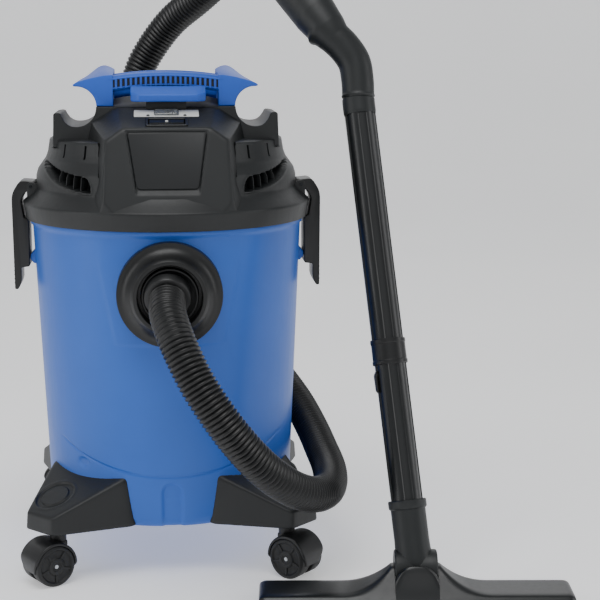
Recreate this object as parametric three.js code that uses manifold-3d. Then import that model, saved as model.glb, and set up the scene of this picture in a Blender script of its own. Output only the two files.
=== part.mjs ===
// Wet and dry drum vacuum with its hose, two-piece wand and floor nozzle.
// Millimetres, +Z up, the floor at z = 0, the hose inlet facing -Y, the drum's axis vertical.
import * as THREE from 'three';
import { ConvexGeometry } from 'three/addons/geometries/ConvexGeometry.js';
import { mergeVertices } from 'three/addons/utils/BufferGeometryUtils.js';
import Module from 'manifold-3d';

const wasm = await Module();
wasm.setup();

// ---------------------------------------------------------------- driving dimensions
const gap = 0.4;            // clearance between neighbouring pieces
const tubTopR = 168.5;      // drum, outer radius under the lip
const tubBaseR = 153;       // drum, outer radius above the bottom fillet
const tubBaseZ = 60;        // drum's underside above the floor
const tubHeight = 366;      // drum, underside to top edge
const wall = 3;             // moulded wall
const lipOut = 2.5;         // rolled lip around the drum's mouth
const bottomFillet = 12;

const rimOverlap = 2;       // how far the head's skirt hangs below the drum's top edge
const rimBand = 21;         // height of the head's skirt band
const rimFlare = 3.5;       // the band widens upwards by this much
const brimRise = 18;        // sloping top of the brim
const headBodyR = 160;      // head, radius where the body leaves the brim
const headTopR = 131;       // head, radius at the horns
const hornHeight = 91;      // horns above the brim
const deckHeight = 100;     // deck under the carry handle above the brim
const gasketThick = 4;
const plateThick = 5;

const scoopR = 24;          // side hooks, radius of the round channel
const scoopX = 108.5;       // side hooks, channel axis off the middle
const scoopLength = 230;
const handleDepth = 104;    // carry handle, front to back
const handlePostIn = 64;    // inner face of the handle's end posts
const handleBarThick = 20;
const handleBarDeep = 26;
const handleRise = 42;      // top of the handle above the deck
const grilleSlots = 22;
const grillePitch = 6;

const panelTopHalf = 46;    // front panel, half widths and height
const panelBottomHalf = 36;
const panelHeight = 68;
const panelDeep = 2.5;

const latchWidth = 44;
const latchOutX = 13;       // latch body outside the head's band
const latchLength = 116;    // pivot to tip
const latchPinR = 2.2;

const inletZ = 351;         // hose inlet's axis above the floor
const flangeR = 62;
const neckR = 37.5;         // inlet's round mouth
const plugR = 33.5;         // hose end that seats behind it
const neckReach = 34;       // neck's front face off the drum
const hoseD = 43;

const footBottomZ = 62;
const footSkirt = 22;       // upright edge of a foot
const footTopZ = 123;
const footCorner = 176;     // a foot's outer corner, the larger coordinate
const footCornerIn = 143;   // the same corner, the smaller coordinate
const footSide = 46;        // the foot ends this far from the drum's middle plane

const wheelR = 25;
const wheelWidth = 17;
const wheelSpace = 9;       // between the two wheels of a caster
const casterAt = { x: 138, y: 152 };
const casterTrail = 14;
const stemR = 5;
const axleR = 2.5;

const tubeR = 17.5;         // wand tubes
const tubeWall = 2;
const socketWall = 2.5;
const lowerTubeLength = 228;
const upperTubeLength = 314;
const couplingLength = 30;
const gripR = 24.5;
const wandLeanBack = 16.7;  // degrees, away from the nozzle's front
const wandLeanSide = -5;    // degrees, towards the drum
const pivotAt = { x: 278, y: -262, z: 39 };
const nozzleTurn = -5.2;    // degrees about the vertical
const nozzleWidth = 362;
const nozzleDepth = 72;
const nozzleHeight = 22;
const stripHeight = 8;
const knuckleR = 23;
const knuckleHalf = 25;

const filterR = 74;
const filterHeight = 120;
const filterBore = 58;
const cageR = 44;
const cageHeight = 62;
const floatR = 30;
const floatTravel = 14;
const motorR = 62;
const motorHeight = 96;
const intakeR = 26;

// ---------------------------------------------------------------- dependent sizes
const tubTopZ = tubBaseZ + tubHeight;
const lipR = tubTopR + lipOut;
const rimInR = lipR + 2;
const rimLowR = rimInR + wall;
const rimBottomZ = tubTopZ - rimOverlap;
const rimTopZ = rimBottomZ + rimBand;
const rimTopR = rimLowR + rimFlare;
const brimZ = rimTopZ + brimRise;
const hornZ = brimZ + hornHeight;
const deckZ = brimZ + deckHeight;
const handleTopZ = deckZ + handleRise;
const gasketZ = tubTopZ + gap;
const plateZ = gasketZ + gasketThick + gap;
const plateTopZ = plateZ + plateThick;
const tubR = (z) => tubBaseR + (tubTopR - tubBaseR) * (z - tubBaseZ) / tubHeight;
const radians = THREE.MathUtils.degToRad;

// ---------------------------------------------------------------- solids
function solid(geometry) {
  const bare = geometry.clone();
  for (const name of Object.keys(bare.attributes)) if (name !== 'position') bare.deleteAttribute(name);
  const merged = mergeVertices(bare, 1e-4);
  const at = merged.index.array;
  const faces = [];
  for (let i = 0; i < at.length; i += 3) {
    const [a, b, c] = [at[i], at[i + 1], at[i + 2]];
    if (a !== b && b !== c && c !== a) faces.push(a, b, c);
  }
  const make = (list) => new wasm.Manifold(new wasm.Mesh({
    numProp: 3,
    vertProperties: new Float32Array(merged.attributes.position.array),
    triVerts: new Uint32Array(list),
  }));
  const body = make(faces);
  if (body.volume() > 0) return body;
  const turned = [];
  for (let i = 0; i < faces.length; i += 3) turned.push(faces[i], faces[i + 2], faces[i + 1]);
  return make(turned);
}

function geometryOf(body) {
  const mesh = body.getMesh();
  const geometry = new THREE.BufferGeometry();
  geometry.setAttribute('position', new THREE.BufferAttribute(mesh.vertProperties, 3));
  geometry.setIndex(new THREE.BufferAttribute(mesh.triVerts, 1));
  const flat = geometry.toNonIndexed();
  flat.computeVertexNormals();
  return flat;
}

// turned about +Z from [radius, z] points
function lathe(points, sides) {
  const profile = points.map(([r, z]) => new THREE.Vector2(r, z));
  const geometry = new THREE.LatheGeometry(profile, sides);
  geometry.rotateX(Math.PI / 2);
  return solid(geometry);
}

// a closed ring profile turned about +Z
function ring(points, sides) {
  return lathe([...points, points[0]], sides);
}

function disc(r, z0, z1, sides) {
  return lathe([[0, z0], [r, z0], [r, z1], [0, z1]], sides);
}

function tubeRing(rIn, rOut, z0, z1, sides) {
  return ring([[rIn, z0], [rOut, z0], [rOut, z1], [rIn, z1]], sides);
}

function block(x0, x1, y0, y1, z0, z1) {
  const geometry = new THREE.BoxGeometry(x1 - x0, y1 - y0, z1 - z0);
  geometry.translate((x0 + x1) / 2, (y0 + y1) / 2, (z0 + z1) / 2);
  return solid(geometry);
}

function hull(points) {
  return solid(new ConvexGeometry(points.map((p) => new THREE.Vector3(...p))));
}

// an outline in the XZ plane, extruded along Y from y0 to y1
function slab(outline, y0, y1) {
  const shape = new THREE.Shape(outline.map(([x, z]) => new THREE.Vector2(x, z)));
  const geometry = new THREE.ExtrudeGeometry(shape, { depth: y1 - y0, bevelEnabled: false });
  geometry.rotateX(Math.PI / 2);
  geometry.translate(0, y1, 0);
  return solid(geometry);
}

// an outline in the YZ plane, extruded along X from x0 to x1
function bar(outline, x0, x1) {
  return slab(outline, 0, x1 - x0).rotate([0, 0, -90]).mirror([0, 1, 0])
    .rotate([0, 0, 0]).translate([x0, 0, 0]);
}

function rodX(r, x0, x1, y, z, sides) {
  return disc(r, x0, x1, sides).rotate([0, 90, 0]).translate([0, y, z]);
}

function rodY(r, y0, y1, x, z, sides) {
  return disc(r, -y1, -y0, sides).rotate([90, 0, 0]).translate([x, 0, z]);
}

function sweep(points, r, steps, sides) {
  const path = new THREE.CatmullRomCurve3(points.map((p) => new THREE.Vector3(...p)), false, 'centripetal');
  const shape = new THREE.Shape();
  for (let i = 0; i < sides; i += 1) {
    const a = 2 * Math.PI * i / sides;
    if (i === 0) shape.moveTo(r, 0); else shape.lineTo(r * Math.cos(a), r * Math.sin(a));
  }
  return solid(new THREE.ExtrudeGeometry(shape, { steps, extrudePath: path, bevelEnabled: false }));
}

function join(...bodies) {
  return bodies.reduce((a, b) => a.add(b));
}

function cut(body, ...tools) {
  return tools.reduce((a, b) => a.subtract(b), body);
}

// ---------------------------------------------------------------- looks
const looks = {
  blue: { color: 0x2b6bd6, roughness: 0.45, metalness: 0 },
  black: { color: 0x17181a, roughness: 0.55, metalness: 0 },
  gloss: { color: 0x0d0e10, roughness: 0.2, metalness: 0 },
  panel: { color: 0x101113, roughness: 0.3, metalness: 0 },
  rubber: { color: 0x121212, roughness: 0.85, metalness: 0 },
  grey: { color: 0x8a8d91, roughness: 0.6, metalness: 0 },
  pale: { color: 0xe6e7e4, roughness: 0.5, metalness: 0 },
  clear: { color: 0xb9bcc0, roughness: 0.15, metalness: 0 },
  paper: { color: 0xd9d5c8, roughness: 0.9, metalness: 0 },
  steel: { color: 0xa9abad, roughness: 0.35, metalness: 1 },
  bristle: { color: 0x1b1b1b, roughness: 0.95, metalness: 0 },
};

const model = new THREE.Group();

function piece(name, body, look, parent = model) {
  const mesh = new THREE.Mesh(geometryOf(body), new THREE.MeshStandardMaterial(looks[look]));
  mesh.name = name;
  parent.add(mesh);
  return mesh;
}

// ---------------------------------------------------------------- drum
function tubOuter(extra = 0) {
  const lipZ = tubTopZ - 10;
  return [[0, tubBaseZ - extra], [tubBaseR - bottomFillet + extra, tubBaseZ - extra],
    [tubBaseR - bottomFillet * 0.3 + extra, tubBaseZ + bottomFillet * 0.3 - extra],
    [tubBaseR + extra, tubBaseZ + bottomFillet],
    [tubR(lipZ) + extra, lipZ], [lipR + extra, lipZ + 3], [lipR + extra, tubTopZ]];
}

// the wall's outside without the lip, grown by the clearance, to shape what hugs it
function tubEnvelope() {
  return lathe([[0, tubBaseZ - gap], [tubBaseR - bottomFillet, tubBaseZ - gap],
    [tubBaseR - bottomFillet * 0.3 + gap, tubBaseZ + bottomFillet * 0.3 - gap],
    [tubBaseR + gap, tubBaseZ + bottomFillet],
    [tubTopR + gap, tubTopZ], [0, tubTopZ]], 48);
}

const lugZ = tubTopZ - 50;
const lugR = lipR + 0.4;
const toothX = lugR + 0.7;

function tub() {
  const inside = [[tubTopR - wall, tubTopZ], [tubBaseR - wall, tubBaseZ + bottomFillet],
    [tubBaseR - bottomFillet, tubBaseZ + wall], [0, tubBaseZ + wall]];
  const shell = lathe([...tubOuter(), ...inside], 48);
  const mouth = rodY(plugR + gap, -tubTopR - 20, -tubBaseR + 40, 0, inletZ, 24);
  const lugs = [-1, 1].map((s) => slab([[s * (tubR(lugZ) - 1.5), lugZ - 9], [s * (tubR(lugZ) + 1), lugZ - 9],
    [s * lugR, lugZ - 4], [s * lugR, lugZ + 2], [s * (tubR(lugZ) - 1.5), lugZ + 9]], -18, 18));
  return cut(join(shell, ...lugs), mouth);
}

function inletFlange() {
  const front = tubR(inletZ) + neckReach;
  const body = ring([[plugR + gap, 120], [flangeR, 120], [flangeR, front - 20], [flangeR - 4, front - 16],
    [flangeR - 9, front - 17], [neckR + 6, front - 9], [neckR + 3, front], [neckR, front], [neckR, front - 18],
    [plugR + gap, front - 18]], 28);
  return cut(body.rotate([90, 0, 0]).translate([0, 0, inletZ]), tubEnvelope());
}

// bends the incoming air down inside the drum, plugged into the inlet from within
function inletDeflector() {
  const r = plugR;
  const back = tubR(inletZ) - 40;
  const pipe = tubeRing(r - wall, r, back, tubR(inletZ) - 1, 24)
    .rotate([90, 0, 0]).translate([0, 0, inletZ]);
  const hood = block(-r, r, -back, -back + wall, inletZ - r * 0.4, inletZ + r);
  return join(pipe, hood);
}

// ---------------------------------------------------------------- hose
const hosePoints = [
  [-3, -205, 350], [-3, -230, 338.5], [3, -250, 321], [13, -265, 298], [27, -276, 270], [45, -283, 241],
  [68, -284, 208], [101, -274, 168], [135, -250, 137], [163, -216, 118], [183, -175, 109], [194, -130, 108],
  [197, -85, 113], [193, -38, 123], [186, 12, 138], [171, 72, 162], [143, 124, 196], [104, 168, 244],
  [60, 200, 303], [18, 219, 370], [-15, 228, 438], [-37, 229, 505], [-43, 225, 562], [-33, 218, 602],
  [-15, 210, 634], [12, 195, 668], [46, 170, 696], [66, 151, 714], [81, 127, 731], [91.5, 101, 745],
  [100, 73, 756], [107.5, 46, 761], [116, 19, 758.5], [128.5, -14, 746.8], [138.4, -23.8, 732.5],
];
const gripEnd = [150.8, -36, 714.7];
const gripBend = [199.9, -80, 648.6];

// a tapered ring laid from one point towards another
function cuff(from, towards, profile, sides) {
  const a = new THREE.Vector3(...from);
  const turn = new THREE.Quaternion().setFromUnitVectors(new THREE.Vector3(0, 0, 1),
    new THREE.Vector3(...towards).sub(a).normalize());
  const matrix = new THREE.Matrix4().compose(a, turn, new THREE.Vector3(1, 1, 1));
  return ring(profile, sides).transform(matrix.elements);
}

// a plug that seats in the inlet, with a drooping collar for the hose
function hoseInletCuff() {
  const y = tubR(inletZ);
  const plug = tubeRing(hoseD / 2 - 5, plugR, y + 2, y + neckReach - 8, 24).rotate([90, 0, 0]).translate([0, 0, inletZ]);
  const r = hoseD / 2 + 6;
  const collar = cuff(hosePoints[0], hosePoints[1], [[hoseD / 2 - 5, -14], [r, -14], [r, -2 * gap], [hoseD / 2 - 5, -2 * gap]], 24);
  return join(plug, collar);
}

function hoseGripCuff() {
  return cuff(hosePoints.at(-1), gripEnd, [[hoseD / 2 - 5, 2 * gap], [hoseD / 2 + 2, 2 * gap], [hoseD / 2 + 2, 23], [hoseD / 2 - 5, 23]], 20);
}

function hose() {
  return sweep(hosePoints, hoseD / 2, 44, 9);
}

// ---------------------------------------------------------------- feet and casters
function foot(sx, sy) {
  const corner = [[footCornerIn, footCorner], [footCorner, footCornerIn]];
  const inner = footSide + 74;
  const points = [];
  for (const [x, y] of corner) points.push([x, y, footBottomZ], [x - 1, y - 1, footBottomZ + footSkirt]);
  const wallTop = Math.sqrt(tubBaseR ** 2 - footSide ** 2);
  for (const [x, y] of [[footSide, wallTop + 2], [wallTop + 2, footSide]]) points.push([x, y, footBottomZ]);
  for (const [x, y] of [[footSide + 9, wallTop], [wallTop, footSide + 9]]) points.push([x, y, footTopZ - 2]);
  for (const [x, y] of [[footSide + 9, inner], [inner, footSide + 9]]) points.push([x, y, footTopZ]);
  for (const [x, y] of [[footSide, inner], [inner, footSide]]) points.push([x, y, footBottomZ]);
  points.push([89, 127, footTopZ - 5], [127, 89, footTopZ - 5]);
  const whole = hull(points.map(([x, y, z]) => [sx * x, sy * y, z]));
  const socket = disc(stemR + gap, footBottomZ - 1, footBottomZ + 22, 12)
    .translate([sx * casterAt.x, sy * casterAt.y, 0]);
  return cut(whole, tubEnvelope(), socket);
}

function casterYoke() {
  const hoodR = wheelR + 2.5;
  const half = wheelWidth + wheelSpace / 2 - 3;
  const stem = disc(stemR, wheelR + 26, footBottomZ + 18, 12);
  const collar = disc(stemR + 5, wheelR + 26.5, footBottomZ - gap, 14);
  const arch = rodX(hoodR, -half, half, casterTrail, wheelR, 20);
  const fork = block(-wheelSpace / 2 + 1, wheelSpace / 2 - 1, casterTrail - 9, casterTrail + 9, wheelR - 8, wheelR + 24);
  const under = block(-half - 1, half + 1, casterTrail - 40, casterTrail + 40, -5, wheelR + 8);
  const wells = rodX(wheelR + 1, -half - 1, half + 1, casterTrail, wheelR, 20);
  const neck = block(-8, 8, -8, casterTrail, wheelR + 20, wheelR + 29);
  const hood = cut(arch, under, wells);
  const web = block(-wheelSpace / 2 + 1, wheelSpace / 2 - 1, casterTrail - 16, casterTrail + 16, wheelR + 8, wheelR + 26);
  const bore = rodX(axleR + gap, -half, half, casterTrail, wheelR, 12);
  return cut(join(hood, fork, web, cut(neck, wells), stem, collar), bore);
}

function casterWheel(side) {
  const x0 = wheelSpace / 2;
  const rim = [[axleR + gap, x0], [wheelR - 1, x0], [wheelR, x0 + 2], [wheelR, x0 + wheelWidth - 3],
    [wheelR - 3, x0 + wheelWidth], [axleR + gap, x0 + wheelWidth - 1.5]];
  const wheel = ring(rim, 16).rotate([0, 90, 0]).translate([0, casterTrail, wheelR]);
  return side > 0 ? wheel : wheel.mirror([1, 0, 0]);
}

function addCaster(tag, sx, sy, turn) {
  const group = new THREE.Group();
  group.position.set(sx * casterAt.x, sy * casterAt.y, 0);
  group.rotation.z = radians(turn - 90);
  model.add(group);
  const end = wheelSpace / 2 + wheelWidth - 1;
  piece(`caster_yoke_${tag}`, casterYoke(), 'black', group);
  piece(`caster_axle_${tag}`, rodX(axleR, -end, end, casterTrail, wheelR, 8), 'steel', group);
  piece(`caster_wheel_a_${tag}`, casterWheel(1), 'rubber', group);
  piece(`caster_wheel_b_${tag}`, casterWheel(-1), 'rubber', group);
}

// ---------------------------------------------------------------- head
const frontLowY = -163;     // front block's face at the brim
const frontTopY = -136;     // and at its upper edge
const frontTopZ = brimZ + 78;
const blockWall = 6;        // front block's wall, thick enough for the panel's recess
const ledgeZ = brimZ + 62;  // ledge in front of each side hook
const hookFrontY = -60;     // upright front face of each side hook
const slopeBackY = -62;     // the switch slope ends here, at the deck
const slopeAngle = Math.atan2(deckZ - frontTopZ, slopeBackY - frontTopY);
const slopeLength = Math.hypot(deckZ - frontTopZ, slopeBackY - frontTopY);

function headOutside(inset) {
  const points = [[0, deckZ], [headTopR - 30, deckZ], [headTopR - 2, hornZ], [headTopR + 3, hornZ - 14],
    [headBodyR - 19, brimZ + 58], [headBodyR - 9, brimZ + 36], [headBodyR - 1, brimZ + 17],
    [headBodyR + 1, brimZ + 6], [headBodyR - 1, brimZ]];
  return points.map(([r, z]) => [Math.max(r - inset, 0), z - inset]);
}

const headSides = 44;

function headShell() {
  const rim = [[rimTopR - 1, rimTopZ + 1.5], [rimTopR, rimTopZ - 1], [rimLowR, rimBottomZ], [rimInR, rimBottomZ],
    [rimInR, plateZ], [rimInR, rimTopZ - 6], [headBodyR - 5, brimZ - 5]];
  const cavity = headOutside(wall).reverse().slice(1);
  const shell = lathe([...headOutside(0), ...rim, ...cavity], headSides);
  return shell;
}

function frontBlock(inset) {
  const z0 = brimZ - 6 - inset;
  const z1 = frontTopZ - inset;
  const y = (v) => v + inset;
  const half = [[76, frontLowY, z0], [104, -120, z0], [72, frontTopY + 2, z1 - 8], [52, frontTopY, z1],
    [88, -92, z1 - 2], [70, slopeBackY, deckZ - inset], [70, slopeBackY + 8, deckZ - inset], [80, -60, z0]];
  return hull([-1, 1].flatMap((s) => half.map(([x, v, z]) => [s * (x - inset), v < slopeBackY ? y(v) : v, z])));
}

// a piece laid on the switch slope: x, distance up the slope, height off it
function onSlope(body) {
  return body.rotate([THREE.MathUtils.radToDeg(slopeAngle), 0, 0]).translate([0, frontTopY, frontTopZ]);
}

// a piece laid on the front face: x, distance down the face, height off it
const faceAngle = Math.atan2(frontTopY - frontLowY, frontTopZ - brimZ + 6);
function onFace(body) {
  return body.rotate([90 - THREE.MathUtils.radToDeg(faceAngle), 0, 0]).translate([0, frontTopY, frontTopZ]);
}

function panelOutline(grow, z0, z1) {
  const [t, b] = [panelTopHalf + grow, panelBottomHalf + grow];
  return hull([[-t, -4 + grow, z0], [t, -4 + grow, z0], [b, -4 - panelHeight - grow, z0], [-b, -4 - panelHeight - grow, z0],
    [-t, -4 + grow, z1], [t, -4 + grow, z1], [b, -4 - panelHeight - grow, z1], [-b, -4 - panelHeight - grow, z1]]);
}

function scoop(s, grow) {
  return rodY(scoopR + grow, -scoopLength / 2, scoopLength / 2, s * scoopX, deckZ, 24);
}

function ventCuts(s) {
  const top = [[142, 40], [125, 29], [107, 21], [96, 18], [91.5, 8]];
  const low = [[96, 2.5], [113, 5], [130, 12.5], [137, 20], [141, 31]];
  const outline = [...top, ...low].map(([x, z]) => [s * x, brimZ + z]);
  return slab(s > 0 ? outline : outline, -150, -40);
}

function ventFins(s) {
  return [100, 109, 118, 127].map((x) => block(s > 0 ? x : -x - 2.5, s > 0 ? x + 2.5 : -x,
    -Math.sqrt((headBodyR - 5) ** 2 - x * x), -Math.sqrt((headBodyR - 28) ** 2 - x * x) + 4, brimZ - 1, brimZ + 34));
}

const latchPinX = rimTopR - 11.5;
const latchPinZ = brimZ + 1;

function latchEar(s, y) {
  const [x0, x1] = [s * (latchPinX - 13), s * (latchPinX + 5)];
  return slab([[x0, brimZ - 8], [x1, brimZ - 13], [x1, latchPinZ + 3], [s * latchPinX, latchPinZ + 6], [x0, latchPinZ + 1]],
    y - 2, y + 2);
}

// the room above the switch slope, and the room above the ledge in front of a side hook
function aboveSlope() {
  return onSlope(block(-200, 200, -60, slopeLength, 0, 90));
}

function aboveLedge(s) {
  return block(s > 0 ? 60 : -200, s > 0 ? 200 : -60, -200, hookFrontY, ledgeZ, ledgeZ + 90);
}

// walls that close the round top where the slope and the ledges cut into it
function stepWalls() {
  const floor = onSlope(block(-90, 90, -40, slopeLength + 2, -9, 0));
  const steps = [-1, 1].flatMap((s) => {
    const [x0, x1] = s > 0 ? [60, 200] : [-200, -60];
    return [block(x0, x1, -200, hookFrontY + wall, ledgeZ - wall, ledgeZ),
      block(x0, x1, hookFrontY, hookFrontY + wall, ledgeZ - wall, deckZ + 5)];
  });
  return join(floor, ...steps).intersect(headEnvelope());
}

function shellWithDetail() {
  let body = cut(join(headShell(), stepWalls()), aboveSlope(), aboveLedge(-1), aboveLedge(1));
  body = join(body, cut(frontBlock(0), frontBlock(blockWall).intersect(headCavity())));
  for (const s of [-1, 1]) {
    body = cut(body, ventCuts(s));
    body = join(body, ...ventFins(s).map((fin) => fin.intersect(headEnvelope())));
    body = join(body, scoop(s, wall).intersect(headEnvelope()).subtract(hornTopCut(s)));
    body = cut(body, scoop(s, 0));
    for (const x of [96, 121]) body = cut(body, block(s * x - 1.3, s * x + 1.3, -150, -70, brimZ + 39, brimZ + 55));
    for (const y of [-1, 1]) body = join(body, latchEar(s, y * (latchWidth / 2 + 2 + gap)));
    body = cut(body, rodY(latchPinR + gap, -latchWidth, latchWidth, s * latchPinX, latchPinZ, 10));
  }
  const recess = onFace(panelOutline(0, -panelDeep, 20));
  const well = onSlope(block(-switchHalf - 3, switchHalf + 3, 8, 8 + switchDeep + 6, -6, 20));
  const strip = onSlope(block(-stripHalf, stripHalf, stripY0, stripY1, -1.2, 20));
  const pocket = block(-buttonStem - gap, buttonStem + gap, paddleY1 - 10 - gap, paddleY1 + gap, deckZ - 30, deckZ + 30);
  const gland = rodY(glandR, 60, 200, glandX, glandZ, 12);
  return cut(body, recess, well, strip, pocket, gland);
}

// everything inside the head's outer skin
function headEnvelope() {
  return lathe([[0, brimZ - 12], [headBodyR - 1, brimZ - 12], ...headOutside(0).reverse()], headSides);
}

function headCavity() {
  return lathe([[0, brimZ - 20], [headBodyR - 5, brimZ - 20], ...headOutside(wall).reverse()], headSides);
}

function hornTopCut(s) {
  return block(s > 0 ? scoopX : -scoopX - 60, s > 0 ? scoopX + 60 : -scoopX, -90, 90, hornZ, hornZ + 60);
}

const switchHalf = 22;
const switchDeep = 22;
const stripHalf = 39;
const stripY0 = 41;
const stripY1 = 65;
const paddleHalf = 45;
const paddleY0 = -88;
const paddleY1 = -60;
const paddleZ = deckZ + 7;
const paddleHeight = 18;
const buttonStem = 28;
const glandR = 9;
const glandX = 60;
const cordR = 3.5;
const glandZ = brimZ + 30;

// ---------------------------------------------------------------- inside the head
function basePlate() {
  return tubeRing(intakeR, rimInR - 2 * gap, plateZ, plateTopZ, headSides);
}

function motorHousing() {
  const z = plateTopZ + gap;
  const top = z + motorHeight;
  const fanTop = z + 34;
  const body = lathe([[0, top], [motorR - 18, top], [motorR - 14, top - 5], [motorR - 14, fanTop + 8], [motorR, fanTop],
    [motorR + 2, z], [intakeR + 2, z], [intakeR + 2, z + 3], [motorR - 2, z + 3], [motorR - 4, fanTop - 2],
    [motorR - 18, fanTop + 5], [motorR - 18, top - 4], [0, top - 4]], 20);
  const ports = [0, 1, 2, 3, 4, 5].map((i) => block(motorR - 8, motorR + 6, -11, 11, z + 9, z + 24)
    .rotate([0, 0, 30 + 60 * i]));
  return cut(body, ...ports);
}

function fanRotor() {
  const z = plateTopZ + gap;
  const top = z + motorHeight - 8;
  const core = lathe([[0, z + 9], [10, z + 9], [12, z + 11], [12, z + 26], [5, z + 28], [5, z + 44], [24, z + 44],
    [24, z + 78], [5, z + 78], [5, top], [0, top]], 10);
  const discs = [tubeRing(8, motorR - 12, z + 8, z + 9.5, 18), tubeRing(8, motorR - 12, z + 21, z + 22.5, 18)];
  const blades = [0, 1, 2, 3, 4, 5, 6].map((i) => block(11, motorR - 13, -0.8, 0.8, z + 9, z + 22)
    .rotate([0, 0, 360 / 7 * i]));
  return join(core, ...discs, ...blades);
}

function rimGasket() {
  return tubeRing(tubTopR - wall - 1, lipR - 0.5, gasketZ, gasketZ + gasketThick, 40);
}

const cageTopZ = plateZ - gap;

function floatCage() {
  const z0 = cageTopZ - cageHeight;
  const r = cageR;
  const cup = ring([[r - 2.5, cageTopZ], [r - 2.5, z0 + 2.5], [10, z0 + 2.5], [10, z0], [r, z0], [r, cageTopZ]], 20);
  const windows = [0, 1, 2, 3, 4, 5].map((i) => block(r - 8, r + 4, -14, 14, z0 + 10, cageTopZ - 16)
    .rotate([0, 0, 60 * i]));
  return cut(cup, ...windows);
}

function floatCup() {
  const z0 = cageTopZ - cageHeight + 2.5 + gap;
  return lathe([[0, z0 + 6], [floatR - 4, z0 + 6], [floatR - 4, z0], [floatR, z0], [floatR, z0 + 32],
    [floatR - 6, z0 + 38], [0, z0 + 38]], 20);
}

const filterTopZ = plateZ - gap;
const filterLowZ = filterTopZ - filterHeight;

function filter() {
  const cap = 7;
  const profile = [[filterBore, filterTopZ], [filterBore, filterLowZ], [filterR, filterLowZ],
    [filterR, filterLowZ + cap], [filterR - 4, filterLowZ + cap], [filterR - 4, filterTopZ - cap],
    [filterR, filterTopZ - cap], [filterR, filterTopZ]];
  return ring(profile, 24);
}

function filterRetainer() {
  const z = filterLowZ - gap;
  const plate = lathe([[0, z - 4], [filterR - 6, z - 4], [filterR - 2, z], [filterBore - gap, z],
    [filterBore - gap, z + 8], [filterBore - 3, z + 8], [filterBore - 3, z], [0, z]], 24);
  const knob = block(-26, 26, -4, 4, z - 18, z - 3);
  return join(plate, knob);
}

function cordGland() {
  const y = Math.sqrt((headBodyR - 7) ** 2 - glandX ** 2);
  const body = lathe([[0, y - 25], [glandR - gap, y - 25], [glandR - gap, y + 8], [glandR + 3, y + 8],
    [glandR + 3, y + 11], [glandR - 2, y + 11], [5.5, y + 34], [0, y + 34]], 12);
  const bore = disc(cordR + gap, y - 26, y + 35, 10);
  return cut(body, bore).rotate([-90, 0, 0]).translate([glandX, 0, glandZ]);
}

// ---------------------------------------------------------------- switch and filter-cleaning button
function switchBezel() {
  const [y0, y1] = [8 + gap, 8 + switchDeep + 6 - gap];
  const [x, w] = [switchHalf + 3 - gap, 3];
  const frame = block(-x, x, y0, y1, -6 + gap, 1.5);
  const well = block(-x + w, x - w, y0 + w, y1 - w, -4.4, 4);
  return onSlope(cut(frame, well));
}

const rockerY = 8 + (switchDeep + 6) / 2;

function rocker() {
  const [x, y] = [switchHalf - gap - 0.4, (switchDeep + 6) / 2 - 3 - gap - 1];
  const profile = [[-y + 0.6, -2.2], [y - 0.6, -2.2], [y, 0.2], [0, -0.6], [-y, 2.6]];
  return onSlope(bar(profile, -x, x).translate([0, rockerY, 0]));
}

function legendStrip() {
  return onSlope(block(-stripHalf + gap, stripHalf - gap, stripY0 + gap, stripY1 - gap, -1.2 + gap, 0.4));
}

function splashCover() {
  const [x, y0, y1] = [15, stripY0 + 3, stripY1 - 3];
  const shape = hull([[-x, y0, 0.4 + gap], [x, y0, 0.4 + gap], [-x, y1, 0.4 + gap], [x, y1, 0.4 + gap],
    [-x + 2, y0 + 2, 3.4], [x - 2, y0 + 2, 3.4], [-x + 2, y1 - 2, 3.4], [x - 2, y1 - 2, 3.4]]);
  return onSlope(shape);
}

function cleaningButton() {
  const [x, y0, y1, low, top] = [paddleHalf, paddleY0, paddleY1, paddleZ, paddleZ + paddleHeight];
  const paddle = hull([[-x, y1, low], [x, y1, low], [-x + 9, y0, low], [x - 9, y0, low],
    [-x, y1, top], [x, y1, top], [-x, y0 + 9, top - 2], [x, y0 + 9, top - 2],
    [-x + 9, y0, top - 9], [x - 9, y0, top - 9], [-x + 3, y1 - 6, low], [x - 3, y1 - 6, low]]);
  return join(paddle, block(-buttonStem, buttonStem, y1 - 10, y1, deckZ - 12, low + 4));
}

// ---------------------------------------------------------------- carry handle
function cheek(s) {
  const post = handlePostIn;
  const arc = [];
  for (let i = 0; i <= 10; i += 1) {
    const a = Math.PI / 2 + (Math.PI / 2) * i / 10;
    arc.push([scoopX + scoopR * Math.cos(a), deckZ + scoopR * Math.sin(a)]);
  }
  arc[arc.length - 1][1] = deckZ + gap;
  const top = [[post, deckZ + gap], [post, handleTopZ - 2], [scoopX - 14, handleTopZ - 10], [scoopX + 2.5, deckZ + scoopR + 2.5]];
  const outline = [...top, ...arc].map(([x, z]) => [s * x, z]);
  return slab(outline, -handleDepth / 2, handleDepth / 2);
}

function carryHandle() {
  const low = handleTopZ - handleBarThick;
  const half = handlePostIn + 6;
  let body = join(cheek(-1), cheek(1));
  for (const s of [-1, 1]) {
    const [y0, y1] = s < 0 ? [-handleDepth / 2, -handleDepth / 2 + handleBarDeep]
      : [handleDepth / 2 - handleBarDeep, handleDepth / 2];
    const outline = [[y0, low + 5], [y0 + 4, low], [y1 - 4, low], [y1, low + 4], [y1, handleTopZ - 5],
      [y1 - 6, handleTopZ], [y0 + 6, handleTopZ], [y0, handleTopZ - 5]];
    body = join(body, bar(outline, -half, half));
  }
  const first = -(grilleSlots - 1) / 2 * grillePitch;
  for (let i = 0; i < grilleSlots; i += 1) {
    const x = first + i * grillePitch;
    body = cut(body, block(x - 1.5, x + 1.5, -handleDepth / 2 - 1, -handleDepth / 2 + 3, low + 5.5, low + 15.5));
  }
  return body;
}

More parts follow.
